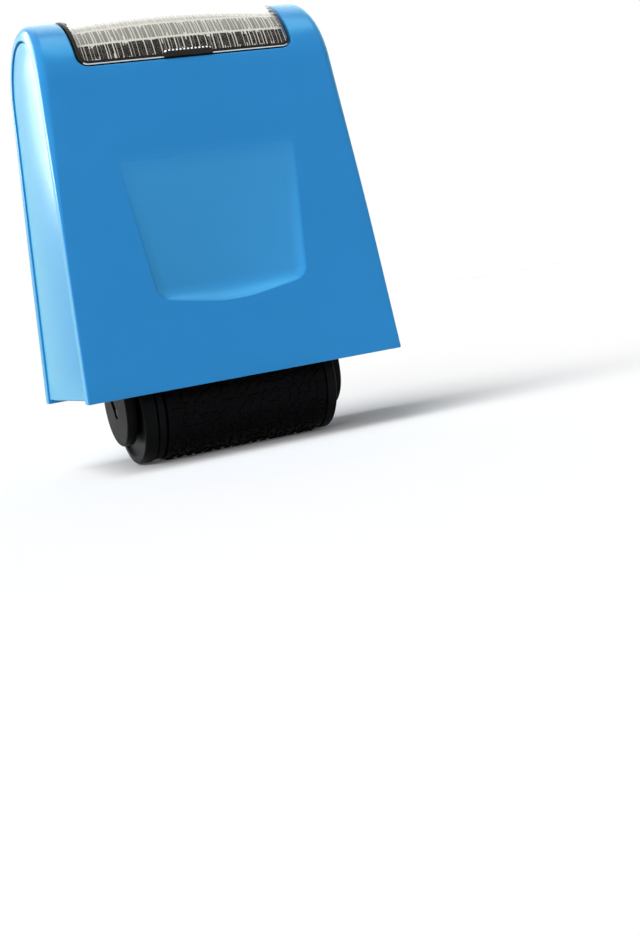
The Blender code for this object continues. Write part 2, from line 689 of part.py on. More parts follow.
def make_block(name, side):
    """A bearing block that slides in the end plate's slot, with a pin that keeps its spring in place."""
    centre = Vector((side * BLOCK_X, 0, INK_AXLE_Z))
    half = Vector((BLOCK_THICKNESS, BLOCK_SIZE, BLOCK_SIZE)) / 2
    block = new_part(name, box_mesh(name, -half, half), "bush_plastic", centre)
    pin = rod_mesh(name + "_pin", BLOCK_PIN_DIAMETER / 2, 2 * BLOCK_PIN_HEIGHT)
    join(block, new_tool(name + "_pin", pin, centre + Vector((0, 0, BLOCK_SIZE / 2))))
    bore = rod_mesh(name + "_bore", BORE_RADIUS, BLOCK_THICKNESS + 2 * OVERRUN)
    cut(block, new_tool(name + "_bore", bore, centre, ALONG_X))


def make_spring(name, side):
    """A compression spring between a block and the cap."""
    low = INK_AXLE_Z + BLOCK_SIZE / 2 + SEAT + SPRING_WIRE / 2
    high = CAP_BASE - SEAT - SPRING_WIRE / 2
    count = SPRING_TURNS * SPRING_POINTS
    points = []
    for step in range(count + 1):
        angle = 2 * math.pi * step / SPRING_POINTS
        rise = (high - low) * step / count
        points.append((SPRING_RADIUS * math.cos(angle), SPRING_RADIUS * math.sin(angle), rise))
    curve = bpy.data.curves.new(name, "CURVE")
    curve.dimensions = "3D"
    curve.bevel_depth = SPRING_WIRE / 2
    curve.bevel_resolution = 1
    curve.use_fill_caps = True
    spline = curve.splines.new("POLY")
    spline.points.add(len(points) - 1)
    for point, place in zip(spline.points, points):
        point.co = (*place, 1)
    spring = bpy.data.objects.new(name, curve)
    spring.data.materials.append(MATERIALS["spring_steel"])
    spring.location = (side * BLOCK_X, 0, low)
    PARTS.objects.link(spring)
    pitch = (high - low) / SPRING_TURNS
    print(f"{name}: least gap between turns {(pitch - SPRING_WIRE) / MM:.2f} mm")


def guide_outline(side):
    """A guide channel's outline in X and Y, open towards the middle."""
    lap = GUIDE_INNER - GUIDE_LAP
    lip = GUIDE_HALF - CHASSIS_WALL
    points = [(lap, -GUIDE_HALF), (GUIDE_OUTER, -GUIDE_HALF), (GUIDE_OUTER, GUIDE_HALF), (lap, GUIDE_HALF),
              (lap, lip), (GUIDE_INNER, lip), (GUIDE_INNER, -lip), (lap, -lip)]
    return [(side * x, y) for x, y in points]


def make_chassis():
    """A plate across the housing's mouth with two guide channels and a bridge that stops the cartridge."""
    half_x = half_width(CHASSIS_TOP) - COVER_SETBACK - COVER_THICKNESS - SEAT
    half_y = wall_y(SHELL_WALL, CHASSIS_TOP) - SEAT
    mesh = box_mesh("chassis", (-half_x, -half_y, CHASSIS_BASE), (half_x, half_y, CHASSIS_TOP))
    chassis = new_part("chassis", mesh, "black_plastic")
    opening = box_mesh("cartridge_opening", (-GUIDE_INNER, -CHASSIS_OPENING_HALF, CHASSIS_BASE - OVERRUN),
                       (GUIDE_INNER, CHASSIS_OPENING_HALF, CHASSIS_TOP + OVERRUN))
    cut(chassis, new_tool("cartridge_opening", opening))
    low = CHASSIS_BASE + CHASSIS_PLATE / 2
    high = BRIDGE_BASE + CHASSIS_WALL / 2
    for side, name in ((-1, "left_guide"), (1, "right_guide")):
        join(chassis, new_tool(name, prism_mesh(name, guide_outline(side), low, high, UPRIGHT)))
    reach_x = GUIDE_OUTER + CHASSIS_LIP
    reach_y = GUIDE_HALF + CHASSIS_LIP
    bridge = box_mesh("bridge", (-reach_x, -reach_y, BRIDGE_BASE), (reach_x, reach_y, BRIDGE_TOP))
    join(chassis, new_tool("bridge", bridge))
    for name, x, y in screw_places():
        hole = rod_mesh(name + "_clearance", SCREW_DIAMETER / 2 + SEAT, CHASSIS_PLATE + 2 * OVERRUN)
        cut(chassis, new_tool(name + "_clearance", hole, (x, y, CHASSIS_BASE + CHASSIS_PLATE / 2)))
        make_screw(name, x, y)


def make_screw(name, x, y):
    """A pan head screw that enters the chassis from below, with a square socket."""
    shank = SCREW_DIAMETER / 2
    head = SCREW_HEAD_DIAMETER / 2
    tip = SCREW_LENGTH - EDGE_BREAK
    low = -SCREW_HEAD_HEIGHT
    profile = [(0, SCREW_LENGTH), (shank - EDGE_BREAK, SCREW_LENGTH), (shank, tip), (shank, 0), (head, 0),
               (head, low + EDGE_BREAK), (head - EDGE_BREAK, low), (0, low)]
    mesh = bpy.data.meshes.new(name)
    mesh.from_pydata([(r, 0, z) for r, z in profile], [(k, k + 1) for k in range(len(profile) - 1)], [])
    place = (x, y, CHASSIS_BASE - SEAT)
    screw = new_part(name, mesh, "screw_steel", place)
    turn(screw, SMALL_STEPS)
    half = SOCKET_WIDTH / 2
    socket = box_mesh(name + "_socket", (-half, -half, low - OVERRUN), (half, half, low + SOCKET_DEPTH))
    cut(screw, new_tool(name + "_socket", socket, place))


clear_scene()
PARTS = new_collection("privacy_roller_stamp")
TOOLS = new_collection("cutters")
MATERIALS = {
    "blue_plastic": new_material("blue_plastic", (0.026, 0.212, 0.51), 0.28),
    "clear_plastic": new_material("clear_plastic", (0.85, 0.87, 0.88), 0.06, alpha=0.3),
    "card": new_material("card", (0.80, 0.77, 0.70), 0.55),
    "black_plastic": new_material("black_plastic", (0.012, 0.013, 0.014), 0.35),
    "bush_plastic": new_material("bush_plastic", (0.55, 0.55, 0.52), 0.4),
    "rubber": new_material("rubber", (0.008, 0.008, 0.010), 0.45),
    "felt": new_material("felt", (0.010, 0.010, 0.014), 0.95),
    "dark_steel": new_material("dark_steel", (0.10, 0.10, 0.11), 0.35, metallic=1.0),
    "spring_steel": new_material("spring_steel", (0.62, 0.62, 0.62), 0.3, metallic=1.0),
    "screw_steel": new_material("screw_steel", (0.42, 0.42, 0.43), 0.35, metallic=1.0),
}

make_shell()
make_cover("left_side_cover", -1)
make_cover("right_side_cover", 1)
make_card()
make_window()
make_print_roller()
make_axle("print_axle", AXLE_Z, END_PLATE_OUTER - SEAT)
make_cartridge_frame()
make_cartridge_cap()
make_ink_roller()
make_chassis()
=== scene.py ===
"""Looks of a hand-held privacy roller stamp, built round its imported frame.

Each piece is a fine mesh that stands for its plain node, with a procedural finish. Lengths are in metres:
X runs across the stamp, the thumb side faces -Y, Z is up, and the print roller stands on Z = 0.
"""

import math
import random
from functools import partial

import bmesh
import bpy
from mathutils import Matrix, Vector
from mathutils.geometry import delaunay_2d_cdt


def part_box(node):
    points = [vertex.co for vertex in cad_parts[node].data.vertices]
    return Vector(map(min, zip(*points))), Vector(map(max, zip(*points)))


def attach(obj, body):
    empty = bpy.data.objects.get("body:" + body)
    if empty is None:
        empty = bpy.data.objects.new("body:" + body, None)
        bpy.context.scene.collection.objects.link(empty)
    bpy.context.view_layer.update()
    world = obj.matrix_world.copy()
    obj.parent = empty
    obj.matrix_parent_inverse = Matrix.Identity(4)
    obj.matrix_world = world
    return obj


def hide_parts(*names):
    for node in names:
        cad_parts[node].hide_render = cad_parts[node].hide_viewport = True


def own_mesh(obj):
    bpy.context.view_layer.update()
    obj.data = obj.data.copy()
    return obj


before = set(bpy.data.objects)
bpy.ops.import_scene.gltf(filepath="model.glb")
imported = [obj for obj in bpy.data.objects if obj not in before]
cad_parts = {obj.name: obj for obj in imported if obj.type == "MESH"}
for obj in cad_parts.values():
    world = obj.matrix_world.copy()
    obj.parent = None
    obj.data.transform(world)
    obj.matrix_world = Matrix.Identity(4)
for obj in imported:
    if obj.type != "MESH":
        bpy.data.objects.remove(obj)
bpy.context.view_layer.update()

# Tolerances, the angle past which an edge is sharp, and how far flat faces outweigh others in shading
MM = 0.001
WELD = 0.002 * MM
PROBE = 0.02 * MM
PATCH_TOLERANCE = 1e-4
SHARP_DEGREES = 50
FLAT_WEIGHT = 60

# The photograph's camera
FRAME_HEIGHT_PIXELS = 937
FOCAL_PIXELS = 1453
SENSOR_WIDTH = 36.0
CLIP_START = 0.01
EYE = Vector((-103.0, -303.3, 30.3)) * MM
FORWARD = Vector((0.3718, 0.9206, -0.1191)).normalized()
UPWARD = Vector((0.1968, 0.0472, 0.9793)).normalized()

# Housing, as far as its box in the frame doesn't say it
SHELL_LOW, SHELL_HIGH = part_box("housing_shell")
HOUSING_BASE = SHELL_LOW.z
HOUSING_HEIGHT = SHELL_HIGH.z - SHELL_LOW.z
HALF_WIDTH = SHELL_HIGH.x
HALF_TOP_WIDTH = 31.0 * MM
HALF_DEPTH = SHELL_HIGH.y
ARCH_RADIUS = 15.1 * MM
SHELL_WALL = 2.8 * MM
RIM_ROUND = 0.35 * MM
ARCH_ROUND = 2.2 * MM
ROUND_START = 0.3
INNER_ROUND = 0.25 * MM
FOOT_ROUND = 0.3 * MM
SEAT = 0.3 * MM

# Thumb and finger recesses, as heights over the housing's base
RECESS_TOP = 49.0 * MM
RECESS_CORNER = 18.2 * MM
RECESS_BOTTOM = 15.6 * MM
RECESS_HALF_TOP = 19.8 * MM
RECESS_HALF_BOTTOM = 16.5 * MM
RECESS_DEPTH = 2.5 * MM
RECESS_RAMP_TOP = 20.8 * MM
RECESS_SIDE = 2.5 * MM
RECESS_HOLLOW = 0.7
RECESS_SWEEP = 40.0 * MM
RECESS_BLEND = 6.0 * MM
RECESS_FADE = 0.25 * MM
RECESS_SKIRT = [-0.4 * MM, -0.12 * MM]
RECESS_TINT_SHARPNESS = 2.5
PAD_THICKNESS = 1.0 * MM
PAD_MARGIN = 2.0 * MM

# Screw bosses, as heights over the chassis's base
BOSS_START = 2.3 * MM
BOSS_END = 12.3 * MM
BOSS_HALF = 1.9 * MM
BOSS_HOLE = 1.3 * MM
BOSS_HOLE_SHARE = 0.8
SCREWS = range(1, 5)

# Window, the pocket that it sits in, and the card
WINDOW_HALF = 23.1 * MM
WINDOW_EDGE = math.radians(15.3)
WINDOW_THICKNESS = 1.3 * MM
WINDOW_RISE = 0.25 * MM
WINDOW_CROWN = 1.25 * MM
WINDOW_CORNER = 2.0 * MM
WINDOW_TOP_ROUND = 0.4 * MM
WINDOW_FOOT_ROUND = 0.15 * MM
WINDOW_RING = 0.25 * MM
WINDOW_COLUMNS = 30
WINDOW_EDGE_STEPS = 6
WINDOW_FOOT_STEPS = 2
WINDOW_RING_STEPS = 2
SHEET_MARGIN = 0.3 * MM
POCKET_DEPTH = 1.85 * MM
POCKET_ROUND = 0.3 * MM
POCKET_FOOT_ROUND = 0.2 * MM
CARD_INNER = 13.5 * MM
CARD_THICKNESS = 0.3 * MM
CARD_MARGIN = 0.4 * MM
CARD_COLUMNS = 24
CARD_ROW = 3.9 * MM
CARD_ROWS_START = 4.6 * MM
CARD_ROWS = 3

# Places of the window's painted shade and painted highlight finishes after its clear one
PAINTED_SHADE = 1
PAINTED_HIGHLIGHT = 2

# Finger grip: its bar, the arc of its section, and its ribs, whose tips are points of the section
GRIP_WIDTH = 10.6 * MM
GRIP_LENGTH = 1.4 * MM
GRIP_RISE = 0.4 * MM
GRIP_DROP = 0.7 * MM
GRIP_LAP = 0.08 * MM
GRIP_SPANS = 12
GRIP_ARC_START = 0.12
GRIP_ARC = 0.86
GRIP_FULLNESS = 0.6
GRIP_RIBS = 13
GRIP_RIB_STEPS = 8
GRIP_RIB_RISE = 0.2 * MM
RIB_FADE = 5
RIB_START = 1.5
RIB_TIPS = range(11, 14)

# Side covers
COVER_GAP = 0.6 * MM
COVER_THICKNESS = 2.0 * MM
COVER_SETBACK = 0.3 * MM
COVER_ROUND = 0.25 * MM
COVER_LIP_DEPTH = 1.3 * MM
COVER_CROWN = 0.5 * MM
COVER_FADE = 6.0 * MM
COVER_COLUMNS = 24

# Rollers: flanges, sleeve and its bars, and what sits on the two axles
CORE_BORE = 3.3 * MM
HUB_WALL = 1.6 * MM
DISH_DEPTH = 0.6 * MM
DISH_SLOPE = 0.6 * MM
FLANGE_RIM = 1.4 * MM
FLANGE_ROUNDS = [0.15 * MM] * 2 + [0.2 * MM] * 4 + [0.45 * MM, 0.3 * MM]
SLEEVE_BORE = 9.7 * MM
SLEEVE_RELIEF = 0.32 * MM
SLEEVE_ROUND = 0.2 * MM
SLEEVE_SEED = 5
BAR_ROWS = 34
BAR_COLUMNS = 16
BAR_MARGIN = 0.6 * MM
BAR_SHIFT = 0.25
BAR_TILTS = (0, 45, 90, 135)
BAR_HALF_LENGTHS = (0.5 * MM, 0.82 * MM)
BAR_HALF_WIDTHS = (0.28 * MM, 0.42 * MM)
BAR_ROOT = 0.05 * MM
BAR_EDGE = 0.06 * MM
BAR_SIZES = (1.25, 1.05, 0.9)
BAR_SHARP_DEGREES = 65
BUSH_BORE = 1.35 * MM
BUSH_ROUND = 0.2 * MM
COLLAR_ROUND = 0.35 * MM
CORE_ROUND = 0.3 * MM
PIN_BORE = 0.05 * MM
FELT_BORE = 4.8 * MM
FELT_BORE_ROUND = 0.2 * MM
FELT_ROUND = 0.6 * MM
FELT_FUZZ = 0.12 * MM
FELT_FUZZ_DEPTH = 0.3 * MM
FELT_COLUMNS = 46
FELT_SEED = 11

# Springs, and mouldings whose edges are broken
WIRE_RADIUS = 0.25 * MM
WIRE_SIDES = 10
SPRING_TURNS = 6
TURN_STEPS = 28
LEVEL_DEGREES = 0.3
BEVEL_DEGREES = 40
BEVEL_STEPS = 3
BLOCK_ROUND = 0.25 * MM
CHASSIS_ROUND = 0.3 * MM

# Finishes by name, kept as they are made, and their colours
FINISHES = {}
WHITE = (1.0, 1.0, 1.0)
BLUE = (0.024, 0.192, 0.482)
LIGHTER_RECESS_BLUE = (0.037, 0.229, 0.510)
BLUE_HAZE = (0.10, 0.95, 1.0)
CLEAR_TINT = (0.97, 0.975, 0.98)
CLEAR_GLOSS = (0.2, 0.2, 0.2)
# A dark colour that paints shade on the window's edges and the grip, and a pale one that paints highlights
# there
SHADE_DARK = (0.010, 0.008, 0.006)
HIGHLIGHT_WHITE = (0.86, 0.88, 0.88)
# The paper's colour, darkened by painted shade that falls under the window
SHADED_PAPER = (0.55, 0.531, 0.47)
CARD_INK = (0.012, 0.010, 0.008)
BLACK = (0.004, 0.0043, 0.0046)
ACETAL = (0.56, 0.555, 0.52)
WET_BLACKS = ((0.0012, 0.0012, 0.0016), (0.0045, 0.004, 0.005))
FELT_BLACKS = ((0.004, 0.004, 0.007), (0.035, 0.034, 0.045))
BLACKENED = (0.12, 0.12, 0.13)
BRIGHT = (0.62, 0.62, 0.62)
ZINC = (0.42, 0.42, 0.43)
FLOOR_COLOUR = (0.80, 0.80, 0.80)

# Noises of the finishes: features in a metre, detail and distortion
CLOUDS = (30.0,)
HANDLING = (70.0,)
GRAIN = (2600.0, 3.0)
WIPES = (1.0, 3.0)
PRINT_WEAR = (900.0, 3.0)
FIBRES = (1.0, 3.0)
INK_FILM = (420.0, 4.0, 0.8)
RUBBER_GRAIN = (1500.0,)
FELT_FIBRES = (1800.0, 6.0, 2.5)
FELT_PATCHES = (150.0, 3.0)
STEEL_LINES = (1.0, 4.0)
STAINS = (260.0, 3.0)

# Stretches along each axis, for noises of one feature in a metre
WIPE_STRETCH = (60.0, 400.0, 400.0)
FIBRE_STRETCH = (900.0, 2200.0, 2200.0)

# Ranges of a noise, and factors of roughness or colour at their ends
UNIT = (0.0, 1.0)
NOISE_RANGE = (0.25, 0.75)
POLISHED = 0.88
SCUFFED = 1.15
RECESS_DULLNESS = 0.4
WIPE_RANGE = (0.4, 0.75)
WIPED = 2.5
WEAR_RANGE = (0.35, 0.6)
WORN = 0.94
SHEET_SHADES = (0.94, 1.03)
FILM_RANGE = (0.35, 0.65)
FILM_ROUGHNESS = (0.16, 0.42)
LINE_RANGE = (0.3, 0.7)
STEEL_DULLNESS = (0.75, 1.35)
STEEL_SHADES = (0.8, 1.15)

# Relief, gloss and roughness
FINE_GRAIN = 0.004 * MM
ROUGH_GRAIN = 0.006 * MM
RUBBER_GRAIN_HEIGHT = 0.01 * MM
FIBRE_HEIGHT = 0.01 * MM
FELT_FIBRE_HEIGHT = 0.15 * MM
HAZE_SHARE = 0.5
HAZE_ROUGHNESS = 0.4
CLEAR_IOR = 1.33
CARD_ROUGHNESS = 0.6
CARD_SHINE = 0.1
RUBBER_SHINE = 0.03
FELT_ROUGHNESS = 0.9
FELT_SHEEN = 0.25
FLOOR_ROUGHNESS = 0.8

# Bars on the card: pitches, and shares of a pitch or a row
CARD_PITCHES = (0.55 * MM, 0.83 * MM)
ROW_SHIFT = 0.37 * MM
NARROWEST = (0.20, 0.15)
WIDTH_RANGE = 0.2
END_POWER = 8.0
END_RANGE = 0.3
END_MARGIN = 0.06

# Sockets of a colour mix: its share and two colours, and its result
MIX_INPUTS = (0, 6, 7)
MIX_RESULT = 2

# Light, as shares of what renders a colour as it is written, the floor's size, and where panels point
AMBIENT = 0.17
FLOOR_GLOW = 0.04
FLOOR_SIZE = 6.0
STAMP_MIDDLE = (0, 0, 50 * MM)

# Wide soft lamps: name, direction, level, and width in degrees
SKY_LAMPS = (
    ("overhead_lamp", (-0.55, -0.25, 1.0), 0.84, 45),
    ("left_lamp", (-1.0, -0.20, 0.45), 0.33, 45),
    ("front_lamp", (-0.60, -0.80, 0.42), 0.28, 30),
    ("rear_lamp", (0.40, 1.0, 0.70), 0.15, 60),
)

# How finely the housing and the rollers are divided
WALL_ROWS = 32
ARCH_ROWS = 70
RIM_STEPS = 8
SMALL_STEPS = 4
SKIN_COLUMNS = 20
CORNER_STEPS = 8
EDGE_SPANS = 26
ARC_SPANS = 64
FOOT_STEPS = 3
RAMP_ROWS = 18
FLOOR_ROWS = 34
SIDE_COLUMNS = 10
RECESS_COLUMNS = 22
POCKET_COLUMNS = 10
RING_STEPS = 120
CORE_STEPS = 96
SLEEVE_STEPS = 128
FELT_STEPS = 110
INK_CORE_STEPS = 64
PIN_STEPS = 48

# Sizes that follow from those above
SIDE_SLOPE = (HALF_WIDTH - HALF_TOP_WIDTH) / HOUSING_HEIGHT
ARCH_CENTRE_Z = HOUSING_BASE + HOUSING_HEIGHT - ARCH_RADIUS
WALL_REACH = math.hypot(HALF_DEPTH, ARCH_CENTRE_Z - HOUSING_BASE)
LEAN = math.acos(ARCH_RADIUS / WALL_REACH) - math.atan2(ARCH_CENTRE_Z - HOUSING_BASE, HALF_DEPTH)
WALL_LENGTH = math.sqrt(WALL_REACH ** 2 - ARCH_RADIUS ** 2)
ARCH_LENGTH = ARCH_RADIUS * (math.pi - 2 * LEAN)
PROFILE_LENGTH = 2 * WALL_LENGTH + ARCH_LENGTH
RECESS_LOW = HOUSING_BASE + RECESS_BOTTOM
RECESS_HIGH = HOUSING_BASE + RECESS_TOP
WINDOW_START = WALL_LENGTH + (WINDOW_EDGE - LEAN) * ARCH_RADIUS
WINDOW_INNER = ARCH_RADIUS + WINDOW_RISE - WINDOW_THICKNESS
POCKET_GRID_MARGIN = 3 * POCKET_FOOT_ROUND
BOSS_STEPS = 8 * SMALL_STEPS


def smooth(share):
    """An even step from 0 to 1 that starts and ends level."""
    share = min(max(share, 0), 1)
    return share * share * (3 - 2 * share)


def spread(low, high, steps):
    """Evenly spaced values from low to high."""
    return [low + (high - low) * step / steps for step in range(steps + 1)]


def quarter(steps):
    """Sine and cosine of the angles of a quarter turn."""
    return [(math.sin(angle), math.cos(angle)) for angle in spread(0, math.pi / 2, steps)]


def rounded_edge(radius, steps):
    """How far a rounded edge's points lie from both sides of its corner, from one side to the other."""
    return [(radius * (1 - sin), radius * (1 - cos)) for sin, cos in quarter(steps)]


def new_body():
    """An empty mesh to build in, which can hold exact normals."""
    body = bmesh.new()
    body.verts.layers.float_vector.new("exact_normal")
    return body


def add_strips(body, rows, closed=False, finish=0, normal=None):
    """Faces between rows of points, each row as long as the next, with exact normals if they are given."""
    made = [[body.verts.new(point) for point in row] for row in rows]
    layer = body.verts.layers.float_vector["exact_normal"]
    for vertex in (vertex for row in made if normal for vertex in row):
        vertex[layer] = normal(vertex.co)
    for low, high in zip(made, made[1:]):
        count = len(low)
        for k in range(count if closed else count - 1):
            after = (k + 1) % count
            face = body.faces.new((low[k], low[after], high[after], high[k]))
            face.material_index = finish


def close_row(body, row):
    """One face over a closed row of points."""
    body.faces.new([body.verts.new(point) for point in row])


def add_patch(body, loops, inner, inside, place, exact=False):
    """Triangles over points in a plane, laid on a surface by a function of both coordinates.

    The loops stay edges, and a triangle is kept if its middle is inside. An exact patch gets the surface's
    own normals.
    """
    points = []
    edges = []
    for loop in loops:
        start = len(points)
        points.extend(loop)
        edges.extend((start + k, start + (k + 1) % len(loop)) for k in range(len(loop)))
    points.extend(inner)
    flat = [Vector((u, v)) / MM for u, v in points]
    found = delaunay_2d_cdt(flat, edges, [], 0, PATCH_TOLERANCE)
    spots = [point * MM for point in found[0]]
    layer = body.verts.layers.float_vector["exact_normal"]
    made = {}
    for face in found[2]:
        middle = sum((spots[k] for k in face), Vector((0, 0))) / len(face)
        if not inside(middle.x, middle.y):
            continue
        for k in face:
            if k not in made:
                u, v = spots[k]
                made[k] = body.verts.new(place(u, v))
                if exact:
                    across = place(u + PROBE, v) - place(u - PROBE, v)
                    along = place(u, v + PROBE) - place(u, v - PROBE)
                    made[k][layer] = across.cross(along).normalized()
        body.faces.new([made[k] for k in face])


def to_mesh(body, name):
    """A smooth closed mesh, with the exact normals where its points have them."""
    bmesh.ops.remove_doubles(body, verts=body.verts, dist=WELD)
    bmesh.ops.recalc_face_normals(body, faces=body.faces)
    layer = body.verts.layers.float_vector["exact_normal"]
    body.normal_update()
    exact = [vertex[layer].copy() for vertex in body.verts]
    normals = [given if given.length else vertex.normal.copy() for given, vertex in zip(exact, body.verts)]
    mesh = bpy.data.meshes.new(name)
    body.to_mesh(mesh)
    body.free()
    mesh.attributes.remove(mesh.attributes["exact_normal"])
    mesh.shade_smooth()
    if any(given.length for given in exact):
        mesh.normals_split_custom_set_from_vertices(normals)
    return mesh


def add_piece(name, mesh, finish, body, *nodes, extra=()):
    """A piece that rides on a body and stands for nodes of the frame."""
    piece = bpy.data.objects.new(name, mesh)
    bpy.context.scene.collection.objects.link(piece)
    for one in (finish, *extra):
        piece.data.materials.append(FINISHES[one])
    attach(piece, body)
    if nodes:
        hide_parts(*nodes)
    return piece


def sharpen(piece, degrees=SHARP_DEGREES):
    """Make a piece's edges sharp past an angle."""
    piece.data.set_sharp_from_angle(angle=math.radians(degrees))


def weigh_normals(piece, sharp_degrees=SHARP_DEGREES):
    """Shade a piece smooth with level flat faces, and sharp past an angle."""
    piece.data.shade_smooth()
    sharpen(piece, sharp_degrees)
    modifier = piece.modifiers.new("level faces", "WEIGHTED_NORMAL")
    modifier.keep_sharp = True
    modifier.weight = FLAT_WEIGHT


def profile_frame(s):
    """Place and outward normal in Y and Z at a length along the housing's profile from its front foot."""
    near = min(s, PROFILE_LENGTH - s)
    arc = near - WALL_LENGTH
    angle = LEAN + max(arc, 0) / ARCH_RADIUS
    normal = Vector((-math.cos(angle), math.sin(angle)))
    if arc > 0:
        place = Vector((0, ARCH_CENTRE_Z)) + normal * ARCH_RADIUS
    else:
        place = Vector((-HALF_DEPTH, HOUSING_BASE)) + Vector((math.sin(LEAN), math.cos(LEAN))) * near
    if s > PROFILE_LENGTH / 2:
        place.x = -place.x
        normal.x = -normal.x
    return place, normal


def skin_point(x, s, inset=0):
    """A point that lies inset from the housing's skin. At the feet it stays at the housing's base."""
    near = min(s, PROFILE_LENGTH - s)
    shift = inset * math.tan(LEAN) * max(0, 1 - near / WALL_LENGTH)
    if s > PROFILE_LENGTH / 2:
        shift = -shift
    place, normal = profile_frame(s + shift)
    y, z = place - normal * inset
    return Vector((x, y, z))


def edge_x(z):
    """Half the housing's width at a height."""
    return HALF_WIDTH - (z - HOUSING_BASE) * SIDE_SLOPE


def rim_round(z):
    """The radius of the rim's outer edge at a height."""
    share = (z - HOUSING_BASE) / HOUSING_HEIGHT
    return RIM_ROUND + (ARCH_ROUND - RIM_ROUND) * smooth((share - ROUND_START) / (1 - ROUND_START))


def skin_edge(s):
    """How far the housing's skin reaches in X before its edge starts to round off."""
    z = skin_point(0, s).z
    return edge_x(z) - rim_round(z)


def recess_foot(x):
    """Height of the recess's lower edge: two straight lines that a wide arc joins."""
    fall = (RECESS_CORNER - RECESS_BOTTOM) / RECESS_HALF_BOTTOM
    tangent = RECESS_SWEEP * math.sin(math.atan(fall))
    if abs(x) > tangent:
        return RECESS_LOW + fall * abs(x)
    centre = RECESS_BOTTOM + fall * tangent + math.sqrt(RECESS_SWEEP ** 2 - tangent ** 2)
    return HOUSING_BASE + centre - math.sqrt(RECESS_SWEEP ** 2 - x ** 2)


def recess_half(z):
    """Half the recess's width at a height."""
    share = (z - HOUSING_BASE - RECESS_CORNER) / (RECESS_TOP - RECESS_CORNER)
    return RECESS_HALF_BOTTOM + (RECESS_HALF_TOP - RECESS_HALF_BOTTOM) * share


def recess_edge(x, z, grown=0):
    """How far inside the recess's edge a point is, as a share of the way over its sides and ramp."""
    ramp = HOUSING_BASE + RECESS_RAMP_TOP - recess_foot(x)
    across = max(0, 1 - (recess_half(z) + grown - abs(x)) / RECESS_SIDE)
    down = max(0, 1 - (z + grown - recess_foot(x)) / ramp)
    return max(0, 1 - math.hypot(across, down))


def recess_share(x, z, grown=0):
    """How much of the recess's depth a point has: 0 at its edge, most in its middle."""
    beyond = 1 - recess_edge(x, z, grown)
    middle = min(1, abs(x) / recess_half(z))
    return (1 - beyond ** 2) * (1 - RECESS_HOLLOW * middle ** 2)


def recess_mark(x, z):
    """Where the recess's lighter, duller blue lies: 0 outside, 1 inside."""
    return smooth(recess_edge(x, z) * RECESS_TINT_SHARPNESS) * smooth((RECESS_HIGH - z) / RECESS_BLEND)


def wall_height(s):
    """Height of a wall's point by its length along the profile, as if the wall had no end."""
    return HOUSING_BASE + min(s, PROFILE_LENGTH - s) * math.cos(LEAN)


def recess_ending(z):
    """1 up to the recess's top, and 0 past a margin over it."""
    return smooth((RECESS_HIGH + PAD_MARGIN - z) / PAD_MARGIN)


def recess_inset(x, s):
    """How far the recess lies under the housing's skin."""
    z = wall_height(s)
    if not RECESS_LOW < z < RECESS_HIGH + PAD_MARGIN:
        return 0
    straight = (RECESS_HIGH - z) * (RECESS_DEPTH / (RECESS_TOP - RECESS_BOTTOM))
    floor = (straight + math.hypot(straight, RECESS_FADE)) / 2
    return floor * recess_ending(z) * recess_share(x, z)


def pad_inset(x, s):
    """How far the pad behind a recess stands out of the wall's inner side."""
    z = wall_height(s)
    if not RECESS_LOW - PAD_MARGIN < z < RECESS_HIGH + PAD_MARGIN:
        return 0
    return PAD_THICKNESS * recess_ending(z) * recess_share(x, z, PAD_MARGIN)


def skin_place(x, s):
    """A point of the housing's outer skin, recesses included."""
    return skin_point(x, s, recess_inset(x, s))


def profile_rows():
    """The lengths along the profile at which the housing is divided."""
    wall = spread(FOOT_ROUND, WALL_LENGTH, WALL_ROWS)
    arch = spread(WALL_LENGTH, PROFILE_LENGTH - WALL_LENGTH, ARCH_ROWS)
    return wall[:-1] + arch + [PROFILE_LENGTH - s for s in reversed(wall[:-1])]


def rim_points(s, side, shrunk=0):
    """Points round the rim on one side, from the skin over the side face to the inner skin."""
    radius = rim_round(skin_point(0, s).z)
    reach = radius - shrunk
    outer = [(radius - reach * cos, radius - reach * sin) for sin, cos in quarter(RIM_STEPS)]
    reach = INNER_ROUND - shrunk
    inner = [(SHELL_WALL - INNER_ROUND + reach * sin, INNER_ROUND - reach * cos)
             for sin, cos in quarter(SMALL_STEPS)]
    points = []
    for inset, from_edge in outer + inner:
        point = skin_point(0, s, inset)
        point.x = side * (edge_x(point.z) - from_edge)
        points.append(point)
    return points


def inner_points(s, shrunk=0):
    """Points across the housing's inner skin, from right to left."""
    edge = rim_points(s, 1, shrunk)[-1].x
    depth = SHELL_WALL - shrunk
    return [skin_point(x, s, depth + pad_inset(x, s)) for x in spread(edge, -edge, SKIN_COLUMNS)]


def section_points(s, shrunk=0):
    """The housing's section at a length along its profile, without its outer skin."""
    right = rim_points(s, 1, shrunk)
    left = rim_points(s, -1, shrunk)
    return right + inner_points(s, shrunk)[1:-1] + left[::-1]


def add_foot(body, front):
    """The rounded foot of the front or rear wall, closed by one level face."""
    edge = skin_edge(FOOT_ROUND)
    rows = []
    for along, shrunk in rounded_edge(FOOT_ROUND, FOOT_STEPS):
        s = along if front else PROFILE_LENGTH - along
        skin = [skin_point(x, s, shrunk) for x in spread(-edge, edge, SKIN_COLUMNS)]
        rows.append(skin[:-1] + section_points(s, shrunk)[:-1])
    add_strips(body, rows, closed=True)
    close_row(body, rows[-1])


